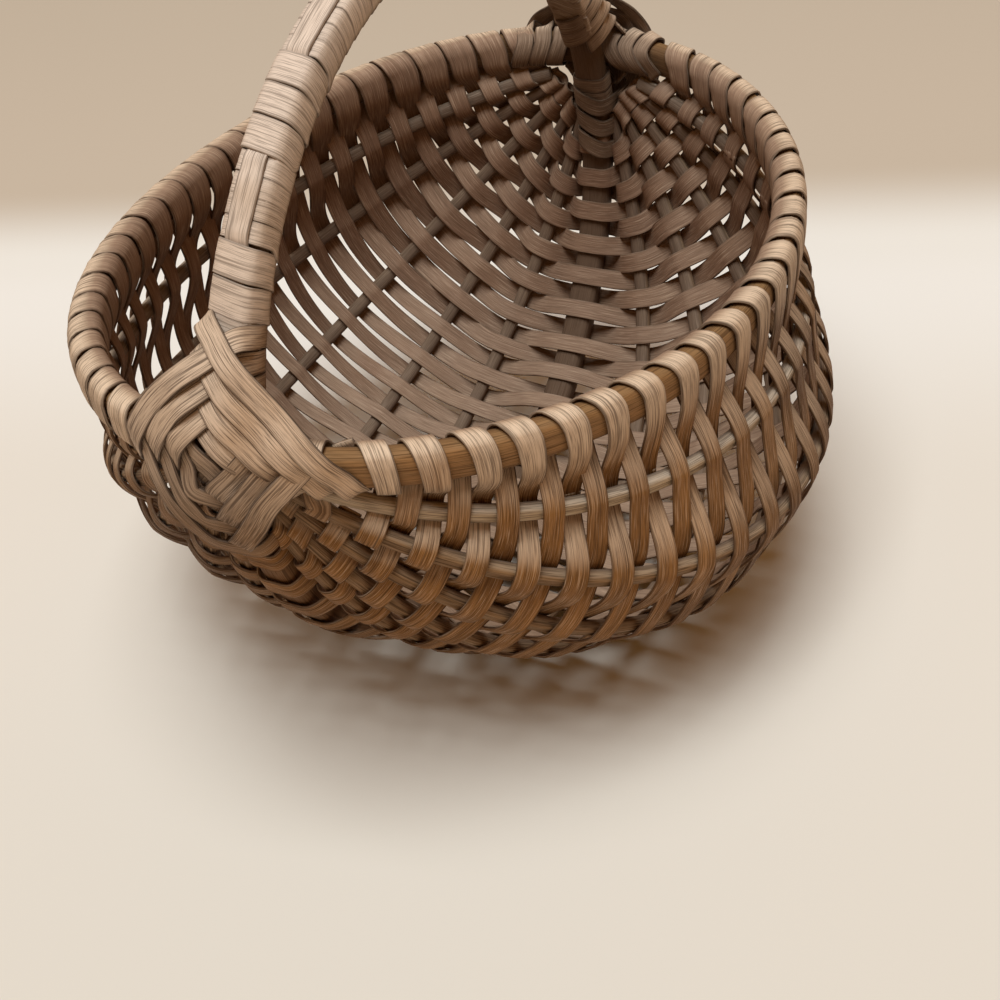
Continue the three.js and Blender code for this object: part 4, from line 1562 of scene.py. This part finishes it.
@dataclass(frozen=True)
class Stage:
    """The pale floor, the soft light and the camera.

    The eye and the target are millimetres in the rim's frame. The focal length and the picture are pixels.
    The floor and the lamp are in metres.
    """

    lift: float
    eye: tuple[float, float, float] = (192.911, -299.352, 204.873)
    target: tuple[float, float, float] = (40.006, -56.237, -40.0)
    roll: float = -0.153
    focal: float = 1500.0
    picture: float = 1000.0
    sensor: float = 36.0
    near_limit: float = 0.01
    floor_size: float = 4.0
    floor_gap: float = 0.0003
    floor_cells: int = 4
    floor_roughness: float = 0.9
    floor_specular: float = 0.1
    floor_behind: tuple[float, float, float] = (-0.312, 0.95, 0.0)
    floor_limits: Limits = (-0.2, 0.5)
    # Floor tones by distance behind the basket: pale near, tan far, and a painted band of light at 0.5 to
    # 0.54.
    floor_tones_and_light: tuple[tuple[float, Swatch], ...] = (
        (0.0, (226, 220, 209)),
        (0.32, (232, 225, 214)),
        (0.5, (241, 238, 232)),
        (0.54, (239, 236, 229)),
        (0.63, (201, 187, 169)),
        (1.0, (197, 184, 166)),
    )
    sky_glow: Swatch = (255, 182, 96)
    sky_strength: float = 0.245
    backdrop: Swatch = (222, 208, 190)
    lamp_place: tuple[float, float, float] = (0.2, -0.85, 4.2)
    lamp_size: float = 2.4
    lamp_power: float = 181.0
    lamp_colour: Swatch = (242, 251, 255)
    lamp_aim: tuple[float, float, float] = (0.0, 0.0, 0.06)

    def camera(self) -> None:
        """Set the camera at the photograph's place, for a picture 1000 pixels square."""
        eye = np.array(self.eye) + np.array([0.0, 0.0, self.lift])
        target = np.array(self.target) + np.array([0.0, 0.0, self.lift])
        forward = unit(target - eye)
        level = unit(np.cross(forward, np.array([0.0, 0.0, 1.0])))
        rise = np.cross(level, forward)
        right = math.cos(self.roll) * level + math.sin(self.roll) * rise
        up = math.cos(self.roll) * rise - math.sin(self.roll) * level
        data = bpy.data.cameras.new("camera")
        data.sensor_width = self.sensor
        data.lens = self.focal / self.picture * self.sensor
        data.clip_start = self.near_limit
        made = bpy.data.objects.new("camera", data)
        axes = Matrix((right, up, -forward)).transposed().to_4x4()
        made.matrix_world = Matrix.Translation(Vector(eye * MM)) @ axes
        bpy.context.scene.collection.objects.link(made)
        bpy.context.scene.camera = made

    def floor(self) -> None:
        """Lay the floor, pale near the basket and tan far behind it."""
        bm = bmesh.new()
        cells = self.floor_cells
        bmesh.ops.create_grid(bm, x_segments=cells, y_segments=cells, size=self.floor_size)
        bmesh.ops.translate(bm, verts=bm.verts[:], vec=(0.0, 0.0, -self.floor_gap))
        mesh = bpy.data.meshes.new("floor")
        bm.to_mesh(mesh)
        bm.free()
        made = bpy.data.objects.new("floor", mesh)
        bpy.context.scene.collection.objects.link(made)
        mesh.materials.append(self.floor_paint())

    def floor_paint(self) -> bpy.types.Material:
        """Build the floor's paint, which changes with the distance behind the basket, with a band of painted
        light across it.
        """
        made = bpy.data.materials.new("floor_paint")
        made.use_nodes = True
        nodes, links = made.node_tree.nodes, made.node_tree.links
        shader = nodes["Principled BSDF"]
        shader.inputs["Roughness"].default_value = self.floor_roughness
        shader.inputs["Specular IOR Level"].default_value = self.floor_specular
        place = nodes.new("ShaderNodeTexCoord")
        behind = nodes.new("ShaderNodeVectorMath")
        behind.operation = "DOT_PRODUCT"
        behind.inputs[1].default_value = self.floor_behind
        links.new(place.outputs["Object"], behind.inputs[0])
        reach = nodes.new("ShaderNodeMapRange")
        reach.inputs["From Min"].default_value = self.floor_limits[0]
        reach.inputs["From Max"].default_value = self.floor_limits[1]
        links.new(behind.outputs["Value"], reach.inputs["Value"])
        ramp = nodes.new("ShaderNodeValToRGB")
        ramp.color_ramp.interpolation = "EASE"
        for index, (spot, swatch) in enumerate(self.floor_tones_and_light):
            stop = ramp.color_ramp.elements[index] if index < 2 else ramp.color_ramp.elements.new(spot)
            stop.position = spot
            stop.color = linear(*swatch)
        links.new(reach.outputs[0], ramp.inputs[0])
        links.new(ramp.outputs[0], shader.inputs["Base Color"])
        return made

    def lamp(self) -> None:
        """Hang one square soft lamp that faces the basket."""
        data = bpy.data.lights.new("window", "AREA")
        data.shape = "SQUARE"
        data.size = self.lamp_size
        data.energy = self.lamp_power
        data.color = linear(*self.lamp_colour)[:3]
        made = bpy.data.objects.new("window", data)
        made.location = self.lamp_place
        aim = Vector(self.lamp_aim) - Vector(self.lamp_place)
        made.rotation_euler = aim.to_track_quat("-Z", "Y").to_euler()
        bpy.context.scene.collection.objects.link(made)

    def sky(self) -> None:
        """Set a warm glow all round, and a pale backdrop for what the camera and reflections see of it."""
        world = bpy.data.worlds.new("sky")
        world.use_nodes = True
        nodes, links = world.node_tree.nodes, world.node_tree.links
        glow = nodes["Background"]
        glow.inputs["Color"].default_value = linear(*self.sky_glow)
        glow.inputs["Strength"].default_value = self.sky_strength
        seen = nodes.new("ShaderNodeBackground")
        seen.inputs["Color"].default_value = linear(*self.backdrop)
        path = nodes.new("ShaderNodeLightPath")
        choice = nodes.new("ShaderNodeMixShader")
        shown = path.outputs["Is Camera Ray"]
        for kind in ("Is Glossy Ray", "Is Transmission Ray"):
            either = nodes.new("ShaderNodeMath")
            either.operation = "MAXIMUM"
            links.new(shown, either.inputs[0])
            links.new(path.outputs[kind], either.inputs[1])
            shown = either.outputs[0]
        links.new(shown, choice.inputs[0])
        links.new(glow.outputs[0], choice.inputs[1])
        links.new(seen.outputs[0], choice.inputs[2])
        links.new(choice.outputs[0], nodes["World Output"].inputs["Surface"])
        bpy.context.scene.world = world

    def build(self) -> None:
        """Set up the whole stage."""
        bpy.context.scene.view_settings.view_transform = "Standard"
        self.camera()
        self.floor()
        self.sky()
        self.lamp()


def main() -> None:
    """Build every piece in order."""
    logging.basicConfig(level=logging.INFO, format="%(name)s %(message)s")
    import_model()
    low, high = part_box("rim_hoop")
    lift = (low[2] + high[2]) / 2 / MM
    rng = np.random.default_rng(SEED)
    form = BasketForm()
    grain, age = fibre_group(), age_and_light_group()
    paint = {finish.name: finish.material(grain, age) for finish in FINISHES}

    hoops = Hoops(form, lift)
    hoops.rim(rng).finish(["rim_hoop"], "hoop_wood", paint["rim_wood"])
    hoops.handle(rng).finish(["handle_hoop"], "hoop_wood", paint["keel_wood"])
    ribs = Ribs(form, lift)
    for index in range(len(form.rib_angles)):
        for left in (False, True):
            node = f"rib_{'left' if left else 'right'}_{index + 1}"
            wood = "upper_rib_wood" if index == 0 else "lower_rib_wood"
            ribs.rib(index, left).finish([node], "rib_wood", paint[wood])
    weave = Weave(form, lift, rng)
    for number in range(weave.strands):
        weave.strand(number).finish([f"weaver_{number + 1:02d}"], "weaver_reed", paint["weaver_reed"])
    ear = Ear(form, lift, rng)
    ear.build(False).finish(["ear_front"], "ear_reed", paint["ear_reed"])
    ear.build(True).finish(["ear_back"], "ear_reed", paint["ear_reed"])
    nodes = ("handle_wrap_front", "handle_wrap_back", "handle_runner")
    for node, piece in zip(nodes, HandleBinding(form, lift, rng).build()):
        piece.finish([node], "handle_reed", paint["handle_reed"])
    Stage(lift).build()


if __name__ == "__main__":
    main()
